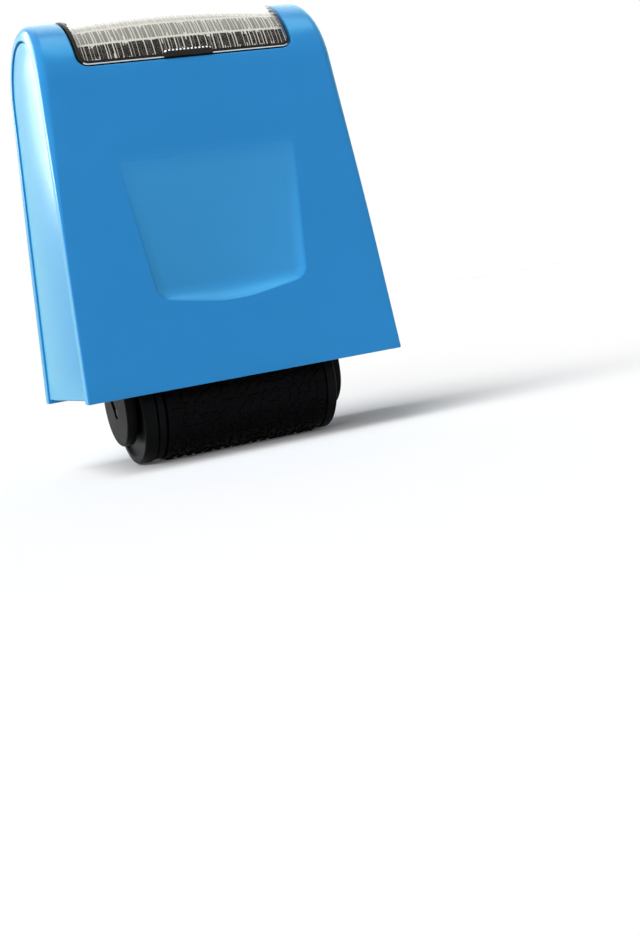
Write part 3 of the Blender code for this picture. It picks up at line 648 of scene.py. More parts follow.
def rounded_loop(half, low, high, corner):
    """A closed outline with round corners, whose points always number the same."""
    reach = half - corner
    centres = ((reach, low + corner), (reach, high - corner), (-reach, high - corner), (-reach, low + corner))
    loop = []
    for k, (x, s) in enumerate(centres):
        for step in range(CORNER_STEPS + 1):
            angle = math.pi / 2 * (k - 1 + step / CORNER_STEPS)
            loop.append((x + corner * math.cos(angle), s + corner * math.sin(angle)))
        spans = ARC_SPANS if k % 2 == 0 else EDGE_SPANS
        angle = math.pi / 2 * k
        after = centres[(k + 1) % len(centres)]
        end = (after[0] + corner * math.cos(angle), after[1] + corner * math.sin(angle))
        start = loop[-1]
        for step in range(1, spans):
            loop.append(tuple(Vector(start).lerp(end, step / spans)))
    return loop


def in_rounded(x, s, half, low, high, corner):
    """Whether a point lies inside a rounded outline."""
    beyond_x = abs(x) - (half - corner)
    beyond_s = abs(s - (low + high) / 2) - ((high - low) / 2 - corner)
    if beyond_x > 0 and beyond_s > 0:
        return math.hypot(beyond_x, beyond_s) < corner
    return max(beyond_x, beyond_s) < corner


def window_shape(grown):
    """The window's outline, grown by a margin: half its width, its ends along the profile, its corners."""
    low = WINDOW_START - grown
    return WINDOW_HALF + grown, low, PROFILE_LENGTH - low, WINDOW_CORNER + grown


def window_loop(grown):
    """The window's outline in X and along the profile, grown by a margin."""
    return rounded_loop(*window_shape(grown))


def pocket_loop(grown):
    """The outline of the window's pocket, grown by a margin."""
    return window_loop(SEAT + grown)


def in_pocket(x, s, grown):
    """Whether a point of the profile lies in the window's pocket, grown by a margin."""
    return in_rounded(x, s, *window_shape(SEAT + grown))


def recess_samples():
    """Points that follow the front recess's sides and ramp closely, in X and along the profile."""
    ramp = RECESS_RAMP_TOP - RECESS_BOTTOM
    heights = RECESS_SKIRT + spread(0, ramp, RAMP_ROWS)
    heights += spread(ramp, RECESS_TOP - RECESS_BOTTOM, FLOOR_ROWS)[1:]
    sides = RECESS_SKIRT + spread(0, RECESS_SIDE, SIDE_COLUMNS)
    points = []
    for height in heights:
        half = recess_half(RECESS_LOW + height)
        flank = [half - side for side in sides]
        middle = spread(-flank[-1], flank[-1], RECESS_COLUMNS)[1:-1]
        for x in [-x for x in flank] + middle + flank[::-1]:
            z = recess_foot(x) + height
            points.append((x, (z - HOUSING_BASE) / math.cos(LEAN)))
    return points


def skin_grid(rows, left_out):
    """Points in rows across the housing's skin, apart from those that a test leaves out."""
    grid = [(share * skin_edge(s), s) for s in rows for share in spread(-1, 1, SKIN_COLUMNS)[1:-1]]
    return [(x, s) for x, s in grid if not left_out(x, s)]


def skin_samples():
    """Points inside the housing's outer skin."""
    rows = profile_rows()
    low = (RECESS_BOTTOM - PAD_MARGIN) / math.cos(LEAN)
    high = (RECESS_TOP + 2 * PAD_MARGIN) / math.cos(LEAN)
    wide = RECESS_HALF_TOP + PAD_MARGIN
    points = recess_samples() + skin_grid(rows[2:WALL_ROWS:2], lambda x, s: low < s < high and abs(x) < wide)
    points += [(x, PROFILE_LENGTH - s) for x, s in points]
    return points + skin_grid(rows[WALL_ROWS:-WALL_ROWS], lambda x, s: in_pocket(x, s, 2 * POCKET_ROUND))


def add_skin(body):
    """The housing's outer skin with both recesses, open at the pocket."""
    rows = profile_rows()
    foot = [(x, rows[0]) for x in spread(-skin_edge(rows[0]), skin_edge(rows[0]), SKIN_COLUMNS)]
    right = [(skin_edge(s), s) for s in rows[1:-1]]
    top = [(-x, rows[-1]) for x, s in foot]
    left = [(-x, s) for x, s in reversed(right)]
    loops = [foot + right + top + left, pocket_loop(POCKET_ROUND)]

    def inside(x, s):
        return abs(x) < skin_edge(s) and not in_pocket(x, s, POCKET_ROUND)

    add_patch(body, loops, skin_samples(), inside, skin_place, exact=True)


def add_pocket(body):
    """The pocket's rounded edge, its walls and its floor."""
    steps = rounded_edge(POCKET_ROUND, SMALL_STEPS)
    steps += [(-across, POCKET_DEPTH - up) for up, across in rounded_edge(POCKET_FOOT_ROUND, SMALL_STEPS)]
    rows = [[skin_point(x, s, inset) for x, s in pocket_loop(grown)] for grown, inset in steps]
    add_strips(body, rows, closed=True)
    floor = pocket_loop(-POCKET_FOOT_ROUND)
    columns = spread(-WINDOW_HALF, WINDOW_HALF, POCKET_COLUMNS)
    grid = [(x, s) for s in profile_rows()[WALL_ROWS:-WALL_ROWS:2] for x in columns
            if in_pocket(x, s, -POCKET_GRID_MARGIN)]
    add_patch(body, [floor], grid, lambda x, s: in_pocket(x, s, -POCKET_FOOT_ROUND),
              lambda x, s: skin_point(x, s, POCKET_DEPTH))


def add_boss(body, low, high, middle, half, hole):
    """A square boss with a blind hole in its lower end."""
    angles = [2 * math.pi * (step + 0.5) / BOSS_STEPS for step in range(BOSS_STEPS)]
    turns = [Vector((math.cos(angle), math.sin(angle), 0)) for angle in angles]
    square = [turn / max(abs(turn.x), abs(turn.y)) * half for turn in turns]
    lift = Vector((0, 0, high - low))
    foot = Vector((middle[0], middle[1], low))
    deep = lift * BOSS_HOLE_SHARE
    rows = [[foot + lift for turn in turns], [foot + point + lift for point in square],
            [foot + point for point in square], [foot + turn * hole for turn in turns],
            [foot + turn * hole + deep for turn in turns], [foot + deep for turn in turns]]
    add_strips(body, rows, closed=True)


def make_shell():
    """The arched housing with its recesses and window pocket, marked where it takes a lighter, duller blue.
    """
    body = new_body()
    add_skin(body)
    add_strips(body, [section_points(s) for s in profile_rows()])
    for front in (True, False):
        add_foot(body, front)
    add_pocket(body)
    mesh = to_mesh(body, "shell_moulding")
    marks = mesh.attributes.new("lighter_duller_recess", "FLOAT", "POINT")
    for vertex, mark in zip(mesh.vertices, marks.data):
        x, y, z = vertex.co
        inset = HALF_DEPTH - (z - HOUSING_BASE) * math.tan(LEAN) - abs(y)
        if inset < SHELL_WALL - SEAT / 2 and RECESS_LOW < z < ARCH_CENTRE_Z:
            mark.value = recess_mark(x, z)
    add_piece("shell_moulding", mesh, "blue_plastic", "housing", "housing_shell")


def make_bosses():
    """The four screw bosses on the walls over the chassis."""
    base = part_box("chassis")[0].z
    body = new_body()
    for number in SCREWS:
        low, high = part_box(f"chassis_screw_{number}")
        add_boss(body, base + BOSS_START, base + BOSS_END, (low + high) / 2, BOSS_HALF, BOSS_HOLE)
    weigh_normals(add_piece("screw_bosses", to_mesh(body, "screw_bosses"), "blue_plastic", "housing"))


def cover_reach(z, inset):
    """Half a side cover's depth at a height, inset from the housing's skin."""
    if z < ARCH_CENTRE_Z + (ARCH_RADIUS - inset) * math.sin(LEAN):
        return HALF_DEPTH - (z - HOUSING_BASE) * math.tan(LEAN) - inset / math.cos(LEAN)
    return math.sqrt(max(0, (ARCH_RADIUS - inset) ** 2 - (z - ARCH_CENTRE_Z) ** 2))


def cover_rows(grown):
    """The heights at which a side cover is divided, with half its depth there, grown by a margin."""
    inset = SHELL_WALL + SEAT - grown
    rows = []
    for s in profile_rows()[:WALL_ROWS + ARCH_ROWS // 2 + 1]:
        z = skin_point(0, s, inset).z + (COVER_GAP - grown) * max(0, 1 - s / WALL_LENGTH)
        rows.append((cover_reach(z, inset), z))
    return rows


def cover_loop(grown):
    """A side cover's outline in Y and Z, grown by a margin."""
    rows = cover_rows(grown)
    front = [(-reach, z) for reach, z in rows]
    rear = [(reach, z) for reach, z in reversed(rows[:-1])]
    reach, z = rows[0]
    return front + rear + [(y, z) for y in spread(reach, -reach, COVER_COLUMNS)[1:-1]]


def cover_height(y, z):
    """Half the stamp's width over a side cover at a point, its slight crown included."""
    inset = SHELL_WALL + SEAT + COVER_ROUND
    reach = max(cover_reach(z, inset), MM)
    low = HOUSING_BASE + COVER_GAP + COVER_ROUND
    high = ARCH_CENTRE_Z + ARCH_RADIUS - inset
    fade = smooth((high - z) / COVER_FADE) * smooth((z - low) / COVER_FADE)
    return edge_x(z) - COVER_SETBACK + COVER_CROWN * (1 - (y / reach) ** 2) * fade


def make_cover(name, side, node):
    """A side cover with soft edges, slightly crowned and set back in the rim, which its lip reaches."""
    steps = [(-across, COVER_SETBACK + down) for across, down in rounded_edge(COVER_ROUND, SMALL_STEPS)]
    deep = COVER_SETBACK + COVER_THICKNESS
    lip = SEAT - WELD
    steps += [(0, COVER_LIP_DEPTH), (lip, COVER_LIP_DEPTH), (lip, deep)]
    rows = [[Vector((side * (edge_x(z) - depth), y, z)) for y, z in cover_loop(grown)]
            for grown, depth in steps]
    body = new_body()
    add_strips(body, rows, closed=True)
    close_row(body, rows[-1])

    def outward(point):
        across = cover_height(point.y + PROBE, point.z) - cover_height(point.y - PROBE, point.z)
        along = cover_height(point.y, point.z + PROBE) - cover_height(point.y, point.z - PROBE)
        return Vector((side * 2 * PROBE, -across, -along)).normalized()

    face = [[Vector((side * cover_height(y, z), y, z)) for y in spread(-reach, reach, COVER_COLUMNS)]
            for reach, z in cover_rows(steps[0][0])]
    add_strips(body, face, normal=outward)
    sharpen(add_piece(name, to_mesh(body, name), "blue_plastic", "housing", node))


def dome_share(x, s):
    """How much of its crown the window has at a point of the profile."""
    across = x / WINDOW_HALF
    along = (s - PROFILE_LENGTH / 2) / (ARCH_RADIUS * (math.pi / 2 - WINDOW_EDGE))
    return max(0, 1 - across ** 2) * max(0, 1 - along ** 2)


def crowned_point(x, s, radius):
    """A point at a radius of the arch, raised as the crown of the window is."""
    return skin_point(x, s, ARCH_RADIUS - radius - WINDOW_CROWN * dome_share(x, s))


def window_place(x, s, height):
    """A point of the window at a height over its inner face."""
    return crowned_point(x, s, WINDOW_INNER + height)


def sheet_patch(body, grown, place, columns):
    """One face of a sheet that follows the window's outline, grown by a margin."""
    half, low, high, corner = window_shape(grown)
    grid = [(x, s) for s in spread(low, high, ARC_SPANS)[1:-1] for x in spread(-half, half, columns)[1:-1]
            if in_rounded(x, s, half - SHEET_MARGIN, low + SHEET_MARGIN, high - SHEET_MARGIN, corner)]
    add_patch(body, [window_loop(grown)], grid, lambda x, s: in_rounded(x, s, half, low, high, corner),
              place, exact=True)


def make_window():
    """The clear window, crowned over its middle, with painted shade on its rim and walls and painted
    highlight lines at its front and rear.
    """
    top = WINDOW_TOP_ROUND
    wall = [(-across, up) for across, up in rounded_edge(WINDOW_FOOT_ROUND, WINDOW_FOOT_STEPS)]
    wall.append((0, WINDOW_THICKNESS - top))
    edge = [(-across, WINDOW_THICKNESS - down) for down, across in rounded_edge(top, WINDOW_EDGE_STEPS)]
    lower = WINDOW_EDGE_STEPS // 2 + 1
    ring = [(-top - WINDOW_RING * share, WINDOW_THICKNESS) for share in spread(0, 1, WINDOW_RING_STEPS)]
    body = new_body()
    sheet_patch(body, ring[-1][0], lambda x, s: window_place(x, s, WINDOW_THICKNESS), WINDOW_COLUMNS)
    sheet_patch(body, wall[0][0], lambda x, s: window_place(x, PROFILE_LENGTH - s, 0), WINDOW_COLUMNS)
    # The walls and the rim take a dark finish that paints shade; the lower half of the rounding takes a pale
    # finish that paints a highlight
    for finish, steps in ((PAINTED_SHADE, wall), (PAINTED_HIGHLIGHT, edge[:lower]), (PAINTED_SHADE, edge[lower - 1:] + ring[1:])):
        rows = [[window_place(x, s, height) for x, s in window_loop(grown)] for grown, height in steps]
        add_strips(body, rows, closed=True, finish=finish)
    # At the sides the rounding takes painted shade instead of painted highlight
    straight = WINDOW_HALF - WINDOW_CORNER / 2
    for face in body.faces:
        if face.material_index == PAINTED_HIGHLIGHT and abs(face.calc_center_median().x) > straight:
            face.material_index = PAINTED_SHADE
    add_piece("clear_window", to_mesh(body, "clear_window"), "clear_plastic", "window", "index_window",
              extra=("painted_shade_plastic", "painted_highlight_plastic"))


def grip_points(across):
    """The grip's section at a share of its width: a bar that laps over the window's front edge."""
    x = GRIP_WIDTH * (across - 0.5)
    ends = smooth(min(across, 1 - across) * GRIP_RIBS)
    rib = GRIP_RIB_RISE * math.sin(math.pi * GRIP_RIBS * across) ** 2
    before = WINDOW_START - GRIP_LAP
    points = [(WINDOW_START + GRIP_LENGTH, -GRIP_LAP), (WINDOW_START + GRIP_LAP, -GRIP_DROP),
              (before, -GRIP_DROP), (before, GRIP_LAP)]
    for share in spread(0, 1, GRIP_SPANS):
        rise = GRIP_RISE * math.sin(math.pi * (GRIP_ARC_START + GRIP_ARC * share)) ** GRIP_FULLNESS
        crest = smooth(share * RIB_FADE - RIB_START) * smooth((1 - share) * RIB_FADE)
        points.append((WINDOW_START + GRIP_LENGTH * share, (rise + rib * crest) * ends))
    return [window_place(x, s, WINDOW_THICKNESS + height) for s, height in points]


def make_grip():
    """The ribbed finger grip at the window's front edge, dark with painted shade, its rib tips pale with
    painted highlights.
    """
    count = GRIP_RIBS * GRIP_RIB_STEPS
    rows = [grip_points(share) for share in spread(0, 1, count)]
    body = new_body()
    add_strips(body, rows, closed=True)
    close_row(body, rows[0])
    close_row(body, rows[-1])
    # Rib tips take the pale finish as painted highlights; the rest of the grip is dark with painted shade
    for number, face in enumerate(list(body.faces)[:count * len(rows[0])]):
        column, place = divmod(number, len(rows[0]))
        on_rib = GRIP_RIB_STEPS // 4 <= column % GRIP_RIB_STEPS < GRIP_RIB_STEPS * 3 // 4
        face.material_index = int(on_rib and place in RIB_TIPS)
    piece = add_piece("window_grip", to_mesh(body, "window_grip"), "painted_shade_plastic", "window",
                      extra=("painted_highlight_plastic",))
    weigh_normals(piece)


def make_card():
    """The card under the window, printed with rows of plain marks."""
    body = new_body()
    inner = CARD_INNER
    outer = inner + CARD_THICKNESS
    sheet_patch(body, -CARD_MARGIN, lambda x, s: crowned_point(x, s, outer), CARD_COLUMNS)
    sheet_patch(body, -CARD_MARGIN, lambda x, s: crowned_point(x, PROFILE_LENGTH - s, inner), CARD_COLUMNS)
    add_strips(body, [[crowned_point(x, s, radius) for x, s in window_loop(-CARD_MARGIN)]
                      for radius in (outer, inner)], closed=True)
    sharpen(add_piece("marked_card", to_mesh(body, "marked_card"), "card", "housing", "index_card"))


def rounded_profile(corners, rounds):
    """A closed profile whose corners are arcs of the given radii."""
    points = []
    for k, (corner, radius) in enumerate(zip(corners, rounds)):
        here = Vector(corner)
        before = (Vector(corners[k - 1]) - here).normalized()
        after = (Vector(corners[(k + 1) % len(corners)]) - here).normalized()
        half_angle = before.angle(after) / 2
        centre = here + (before + after).normalized() * (radius / math.sin(half_angle))
        start = here + before * (radius / math.tan(half_angle)) - centre
        turn = start.angle_signed(here + after * (radius / math.tan(half_angle)) - centre)
        points += [centre + Matrix.Rotation(part, 2) @ start for part in spread(0, -turn, SMALL_STEPS)]
    return points


def ring_profile(low, high, inner, outer, rounding):
    """A ring's profile in place and radius, with rounded edges."""
    corners = [(low, inner), (high, inner), (high, outer), (low, outer)]
    return rounded_profile(corners, [rounding / 2] * 2 + [rounding] * 2)


def full_turn(steps):
    """Evenly spaced angles once round."""
    return spread(0, 2 * math.pi, steps)[:-1]


def turned_point(x, radius, angle, z):
    """A point at a radius and an angle about a line along X."""
    return Vector((x, radius * math.sin(angle), z + radius * math.cos(angle)))


def add_turned(body, profile, z, steps):
    """Turn a closed profile of place and radius about a line along X."""
    rows = [[turned_point(*point, angle, z) for point in profile] for angle in full_turn(steps)]
    add_strips(body, rows + rows[:1], closed=True)


def round_shape(node):
    """A round node's two ends in X, the height of its middle and its radius."""
    low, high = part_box(node)
    middle = (low + high) / 2
    return low.x, high.x, middle.z, (high.y - low.y) / 2


def add_round_piece(name, node, finish, body_name, profile, z, steps):
    """A piece turned about a line along X, with level faces."""
    body = new_body()
    add_turned(body, profile, z, steps)
    weigh_normals(add_piece(name, to_mesh(body, name), finish, body_name, node))


def make_ring(name, node, finish, body_name, bore, rounding, steps):
    """A ring or a pin on a roller's line, between the ends of its node."""
    left, right, z, radius = round_shape(node)
    profile = ring_profile(left, right, bore, radius, rounding)
    add_round_piece(name, node, finish, body_name, profile, z, steps)


def make_flange(name, node, inner_side):
    """A flange whose outer face is dished round its hub."""
    left, right, z, radius = round_shape(node)
    face, back = (left, right) if inner_side > 0 else (right, left)
    dish = face + inner_side * DISH_DEPTH
    hub = CORE_BORE + HUB_WALL
    rim = radius - FLANGE_RIM
    corners = [(back, CORE_BORE), (face, CORE_BORE), (face, hub), (dish, hub + DISH_SLOPE),
               (dish, rim - DISH_SLOPE), (face, rim), (face, radius), (back, radius)]
    profile = rounded_profile(corners, FLANGE_ROUNDS)
    add_round_piece(name, node, "black_plastic", "print_roller", profile, z, RING_STEPS)


def make_sleeve():
    """The rubber sleeve with its raised printing pattern: short bars at mixed angles."""
    left, right, z, top = round_shape("print_sleeve")
    ground = top - SLEEVE_RELIEF
    chance = random.Random(SLEEVE_SEED)
    body = new_body()
    add_turned(body, ring_profile(left, right, SLEEVE_BORE, ground, SLEEVE_ROUND), z, SLEEVE_STEPS)
    width = (right - left - 2 * BAR_MARGIN) / BAR_COLUMNS
    levels = (ground - BAR_ROOT, top - BAR_EDGE, top)
    for row in range(BAR_ROWS):
        turn = row * (2 * math.pi / BAR_ROWS)
        for column in range(BAR_COLUMNS):
            x = left + BAR_MARGIN + width * (column + 0.5 + BAR_SHIFT * (row % 2 - 0.5))
            tilt = math.radians(chance.choice(BAR_TILTS))
            half_length = chance.uniform(*BAR_HALF_LENGTHS)
            half_width = chance.uniform(*BAR_HALF_WIDTHS)
            add_bar(body, x, turn, tilt, half_length, half_width, levels, z)
    piece = add_piece("patterned_sleeve", to_mesh(body, "patterned_sleeve"), "rubber", "print_roller",
                      "print_sleeve")
    weigh_normals(piece, BAR_SHARP_DEGREES)


def add_bar(body, x, turn, tilt, half_length, half_width, levels, z):
    """A raised bar with round ends on a sleeve, from its root over its edge to its top."""
    outline = []
    for end in (1, -1):
        for share in spread(-0.5, 0.5, SMALL_STEPS):
            reach = half_length + half_width * math.cos(math.pi * share)
            outline.append((end * reach, end * half_width * math.sin(math.pi * share)))
    rows = []
    for radius, size in zip(levels, BAR_SIZES):
        row = []
        for u, v in outline:
            across = (u * math.cos(tilt) - v * math.sin(tilt)) * size
            around = turn + (u * math.sin(tilt) + v * math.cos(tilt)) * size / levels[-1]
            row.append(turned_point(x + across, radius, around, z))
        rows.append(row)
    add_strips(body, rows, closed=True)
    close_row(body, rows[-1])


def make_felt():
    """The ink felt: a soft sleeve with a fibrous surface."""
    left, right, z, radius = round_shape("ink_felt")
    chance = random.Random(FELT_SEED)
    corners = [(left, FELT_BORE), (right, FELT_BORE), (right, radius), (left, radius)]
    profile = rounded_profile(corners, [FELT_BORE_ROUND] * 2 + [FELT_ROUND] * 2)
    side = [(x, radius) for x in spread(right - FELT_ROUND, left + FELT_ROUND, FELT_COLUMNS)[1:-1]]
    corner_end = 3 * (SMALL_STEPS + 1)
    rows = []
    for angle in full_turn(FELT_STEPS):
        row = []
        for along, reach in profile[:corner_end] + side + profile[corner_end:]:
            if reach > radius - FELT_FUZZ_DEPTH:
                reach -= chance.uniform(0, FELT_FUZZ)
            row.append(turned_point(along, reach, angle, z))
        rows.append(row)
    body = new_body()
    add_strips(body, rows + rows[:1], closed=True)
    add_piece("ink_felt_sleeve", to_mesh(body, "ink_felt_sleeve"), "felt", "ink_roller", "ink_felt")


def make_spring(name, node):
    """A coil spring of round wire."""
    low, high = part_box(node)
    middle = (low + high) / 2
    wire = WIRE_RADIUS
    radius = (high.x - low.x) / 2 - wire
    rows = []
    for share in spread(0, 1, SPRING_TURNS * TURN_STEPS):
        angle = 2 * math.pi * SPRING_TURNS * share
        rise = low.z + wire + (high.z - low.z - 2 * wire) * share
        outward = Vector((math.cos(angle), math.sin(angle), 0))
        centre = Vector((middle.x + radius * math.cos(angle), middle.y + radius * math.sin(angle), rise))
        rows.append([centre + outward * wire * math.cos(a) + Vector((0, 0, wire * math.sin(a)))
                     for a in full_turn(WIRE_SIDES)])
    body = new_body()
    add_strips(body, rows, closed=True)
    close_row(body, rows[0])
    close_row(body, rows[-1])
    piece = add_piece(name, to_mesh(body, name), "spring_steel", "cartridge", node)
    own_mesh(piece)


def make_softened(name, node, finish, body_name, rounding=0):
    """A moulding in its node's own shape, with level faces, and round edges if a rounding is given."""
    body = bmesh.new()
    body.from_mesh(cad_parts[node].data)
    bmesh.ops.remove_doubles(body, verts=body.verts, dist=WELD)
    level = math.radians(LEVEL_DEGREES)
    bmesh.ops.dissolve_limit(body, angle_limit=level, verts=body.verts, edges=body.edges)
    mesh = bpy.data.meshes.new(name)
    body.to_mesh(mesh)
    body.free()
    piece = add_piece(name, mesh, finish, body_name, node)
    if rounding:
        modifier = piece.modifiers.new("rounded edges", "BEVEL")
        modifier.width = rounding
        modifier.segments = BEVEL_STEPS
        modifier.limit_method = "ANGLE"
        modifier.angle_limit = math.radians(BEVEL_DEGREES)
    weigh_normals(piece)


def fill(tree, node, inputs):
    """Set or link a node's inputs, which are named or numbered."""
    for name, value in inputs.items():
        socket = node.inputs[name]
        if isinstance(value, bpy.types.NodeSocket):
            tree.links.new(value, socket)
        elif socket.type == "RGBA":
            socket.default_value = (*value, 1.0)
        else:
            socket.default_value = value


def new_node(tree, kind, inputs, **settings):
    """A shader node with its settings and its inputs."""
    node = tree.nodes.new("ShaderNode" + kind)
    for name, value in settings.items():
        setattr(node, name, value)
    fill(tree, node, inputs)
    return node


def new_finish(name):
    """The node tree, shader and object coordinates of a new material, which is kept under its name."""
    FINISHES[name] = bpy.data.materials.new(name)
    FINISHES[name].use_nodes = True
    tree = FINISHES[name].node_tree
    return tree, tree.nodes["Principled BSDF"], new_node(tree, "TexCoord", {}).outputs["Object"]


def noise(tree, vector, scale, detail=2.0, distortion=0.0):
    """A noise texture's value."""
    inputs = {"Vector": vector, "Scale": scale, "Detail": detail, "Distortion": distortion}
    return new_node(tree, "TexNoise", inputs).outputs[0]


def stretch(tree, vector, factors):
    """Coordinates scaled along each axis."""
    return new_node(tree, "Mapping", {"Vector": vector, "Scale": factors}).outputs[0]


def remap(tree, value, source, low, high):
    """A value moved from one range to another, and kept in it."""
    inputs = {"Value": value, "From Min": source[0], "From Max": source[1], "To Min": low, "To Max": high}
    return new_node(tree, "MapRange", inputs).outputs[0]


def mix_colours(tree, share, low, high):
    """A colour between two others."""
    inputs = dict(zip(MIX_INPUTS, (share, low, high)))
    return new_node(tree, "Mix", inputs, data_type="RGBA").outputs[MIX_RESULT]


def calculate(tree, operation, *values):
    """A Math node's result."""
    return new_node(tree, "Math", dict(enumerate(values)), operation=operation).outputs[0]


def bump(tree, shader, height, distance):
    """A fine relief on a shader."""
    relief = new_node(tree, "Bump", {"Height": height, "Distance": distance}).outputs[0]
    fill(tree, shader, {"Normal": relief})


def tinted(colour, factor):
    """A colour made lighter or darker."""
    return tuple(channel * factor for channel in colour)


def moulded_plastic(name, colour, roughness, grain=FINE_GRAIN, drift=0.05, shine=0.5, recess_colour=None, haze=None):
    """Moulded plastic: a colour that drifts a little, a fine grain, and shine that handling has varied.

    A second colour shows, less shiny, where the mesh is marked for it. Haze is the colour that shows aslant.
    """
    tree, shader, place = new_finish(name)
    shade = remap(tree, noise(tree, place, *CLOUDS), NOISE_RANGE, 0.0, 1.0)
    base = mix_colours(tree, shade, tinted(colour, 1 - drift), tinted(colour, 1 + drift))
    handled = noise(tree, place, *HANDLING)
    dull = remap(tree, handled, NOISE_RANGE, roughness * POLISHED, roughness * SCUFFED)
    if recess_colour:
        mark = new_node(tree, "Attribute", {}, attribute_name="lighter_duller_recess").outputs["Fac"]
        base = mix_colours(tree, mark, base, recess_colour)
        dull = calculate(tree, "MULTIPLY_ADD", mark, roughness * RECESS_DULLNESS, dull)
    bump(tree, shader, noise(tree, place, *GRAIN), grain)
    fill(tree, shader, {"Base Color": base, "Roughness": dull, "Specular IOR Level": shine})
    if haze:
        fill(tree, shader, {"Specular Tint": haze, "Sheen Weight": HAZE_SHARE,
                            "Sheen Roughness": HAZE_ROUGHNESS, "Sheen Tint": haze})


def clear_plastic(name, tint, roughness):
    """Clear plastic that lets lamps shine on what lies under it, with faint wipe marks."""
    tree, shader, place = new_finish(name)
    wiped = noise(tree, stretch(tree, place, WIPE_STRETCH), *WIPES)
    dull = remap(tree, wiped, WIPE_RANGE, roughness, roughness * WIPED)
    fill(tree, shader, {"Base Color": tint, "Transmission Weight": 1.0, "IOR": CLEAR_IOR,
                        "Specular Tint": CLEAR_GLOSS, "Roughness": dull})
    lamp = new_node(tree, "LightPath", {}).outputs["Is Shadow Ray"]
    through = new_node(tree, "BsdfTransparent", {"Color": tint}).outputs[0]
    mixed = new_node(tree, "MixShader", {0: lamp, 1: shader.outputs[0], 2: through}).outputs[0]
    fill(tree, tree.nodes["Material Output"], {"Surface": mixed})


def card_bars(tree, axes, row, up, number, pitch):
    """Upright bars along a row, one to each pitch, whose width and ends differ."""
    find = partial(calculate, tree)
    along = find("DIVIDE", find("MULTIPLY_ADD", row, ROW_SHIFT, axes[0]), pitch)
    spot = find("ABSOLUTE", find("SUBTRACT", find("FRACT", along), 0.5))
    seed = new_node(tree, "CombineXYZ", {0: find("FLOOR", along), 1: row, 2: float(number)}).outputs[0]
    chance = new_node(tree, "TexWhiteNoise", {"Vector": seed}, noise_dimensions="3D").outputs["Color"]
    parts = new_node(tree, "SeparateColor", {0: chance}).outputs
    narrowest = remap(tree, row, UNIT, *NARROWEST)
    width = find("MULTIPLY_ADD", parts[0], WIDTH_RANGE, narrowest)
    low = find("MULTIPLY_ADD", find("POWER", parts[1], END_POWER), END_RANGE, END_MARGIN)
    high = find("MULTIPLY_ADD", find("POWER", parts[2], END_POWER), -END_RANGE, 1 - END_MARGIN)
    bar = find("LESS_THAN", spot, width)
    return find("MULTIPLY", bar, find("MULTIPLY", find("GREATER_THAN", up, low), find("LESS_THAN", up, high)))


def marked_card(name, shaded_paper, ink):
    """Card with rows of upright bars, each of its own width and height."""
    tree, shader, place = new_finish(name)
    find = partial(calculate, tree)
    axes = new_node(tree, "SeparateXYZ", {0: place}).outputs
    rise = find("SUBTRACT", axes[2], ARCH_CENTRE_Z)
    arc = find("MULTIPLY", find("ARCTAN2", rise, find("ABSOLUTE", axes[1])), CARD_INNER + CARD_THICKNESS)
    row_place = find("DIVIDE", find("SUBTRACT", arc, CARD_ROWS_START), CARD_ROW)
    row = find("FLOOR", row_place)
    up = find("FRACT", row_place)
    shown = find("MAXIMUM", *(card_bars(tree, axes, row, up, *one) for one in enumerate(CARD_PITCHES)))
    worn = remap(tree, noise(tree, place, *PRINT_WEAR), WEAR_RANGE, WORN, 1.0)
    fading = remap(tree, row, (0, CARD_ROWS), 1.0, 0.0)
    below = find("GREATER_THAN", row_place, 0.0)
    inked = find("MULTIPLY", shown, find("MULTIPLY", worn, find("MULTIPLY", fading, below)))
    fibre = noise(tree, stretch(tree, place, FIBRE_STRETCH), *FIBRES)
    # The sheet is the paper's colour darkened by painted shade
    sheet = mix_colours(tree, fibre, *(tinted(shaded_paper, factor) for factor in SHEET_SHADES))
    fill(tree, shader, {"Base Color": mix_colours(tree, inked, sheet, ink), "Roughness": CARD_ROUGHNESS,
                        "Specular IOR Level": CARD_SHINE})
    bump(tree, shader, fibre, FIBRE_HEIGHT)


def inked_rubber(name):
    """Stamp rubber under a film of ink, which gathers in places and shines there."""
    tree, shader, place = new_finish(name)
    film = noise(tree, place, *INK_FILM)
    fill(tree, shader, {"Base Color": mix_colours(tree, film, *WET_BLACKS),
                        "Roughness": remap(tree, film, FILM_RANGE, *FILM_ROUGHNESS),
                        "Specular IOR Level": RUBBER_SHINE})
    bump(tree, shader, noise(tree, place, *RUBBER_GRAIN), RUBBER_GRAIN_HEIGHT)


def ink_felt(name):
    """Felt soaked with ink: matted fibres with a dull sheen."""
    tree, shader, place = new_finish(name)
    fibres = noise(tree, place, *FELT_FIBRES)
    shade = calculate(tree, "MULTIPLY", fibres, noise(tree, place, *FELT_PATCHES))
    fill(tree, shader, {"Base Color": mix_colours(tree, shade, *FELT_BLACKS), "Roughness": FELT_ROUGHNESS,
                        "Sheen Weight": FELT_SHEEN})
    bump(tree, shader, fibres, FELT_FIBRE_HEIGHT)


def turned_steel(name, colour, roughness, streaks):
    """Steel with fine marks from drawing or turning."""
    tree, shader, place = new_finish(name)
    lines = noise(tree, stretch(tree, place, streaks), *STEEL_LINES)
    shades = (tinted(colour, factor) for factor in STEEL_SHADES)
    stained = mix_colours(tree, noise(tree, place, *STAINS), *shades)
    dullness = (roughness * factor for factor in STEEL_DULLNESS)
    fill(tree, shader, {"Metallic": 1.0, "Base Color": stained,
                        "Roughness": remap(tree, lines, LINE_RANGE, *dullness)})
    bump(tree, shader, lines, FINE_GRAIN)


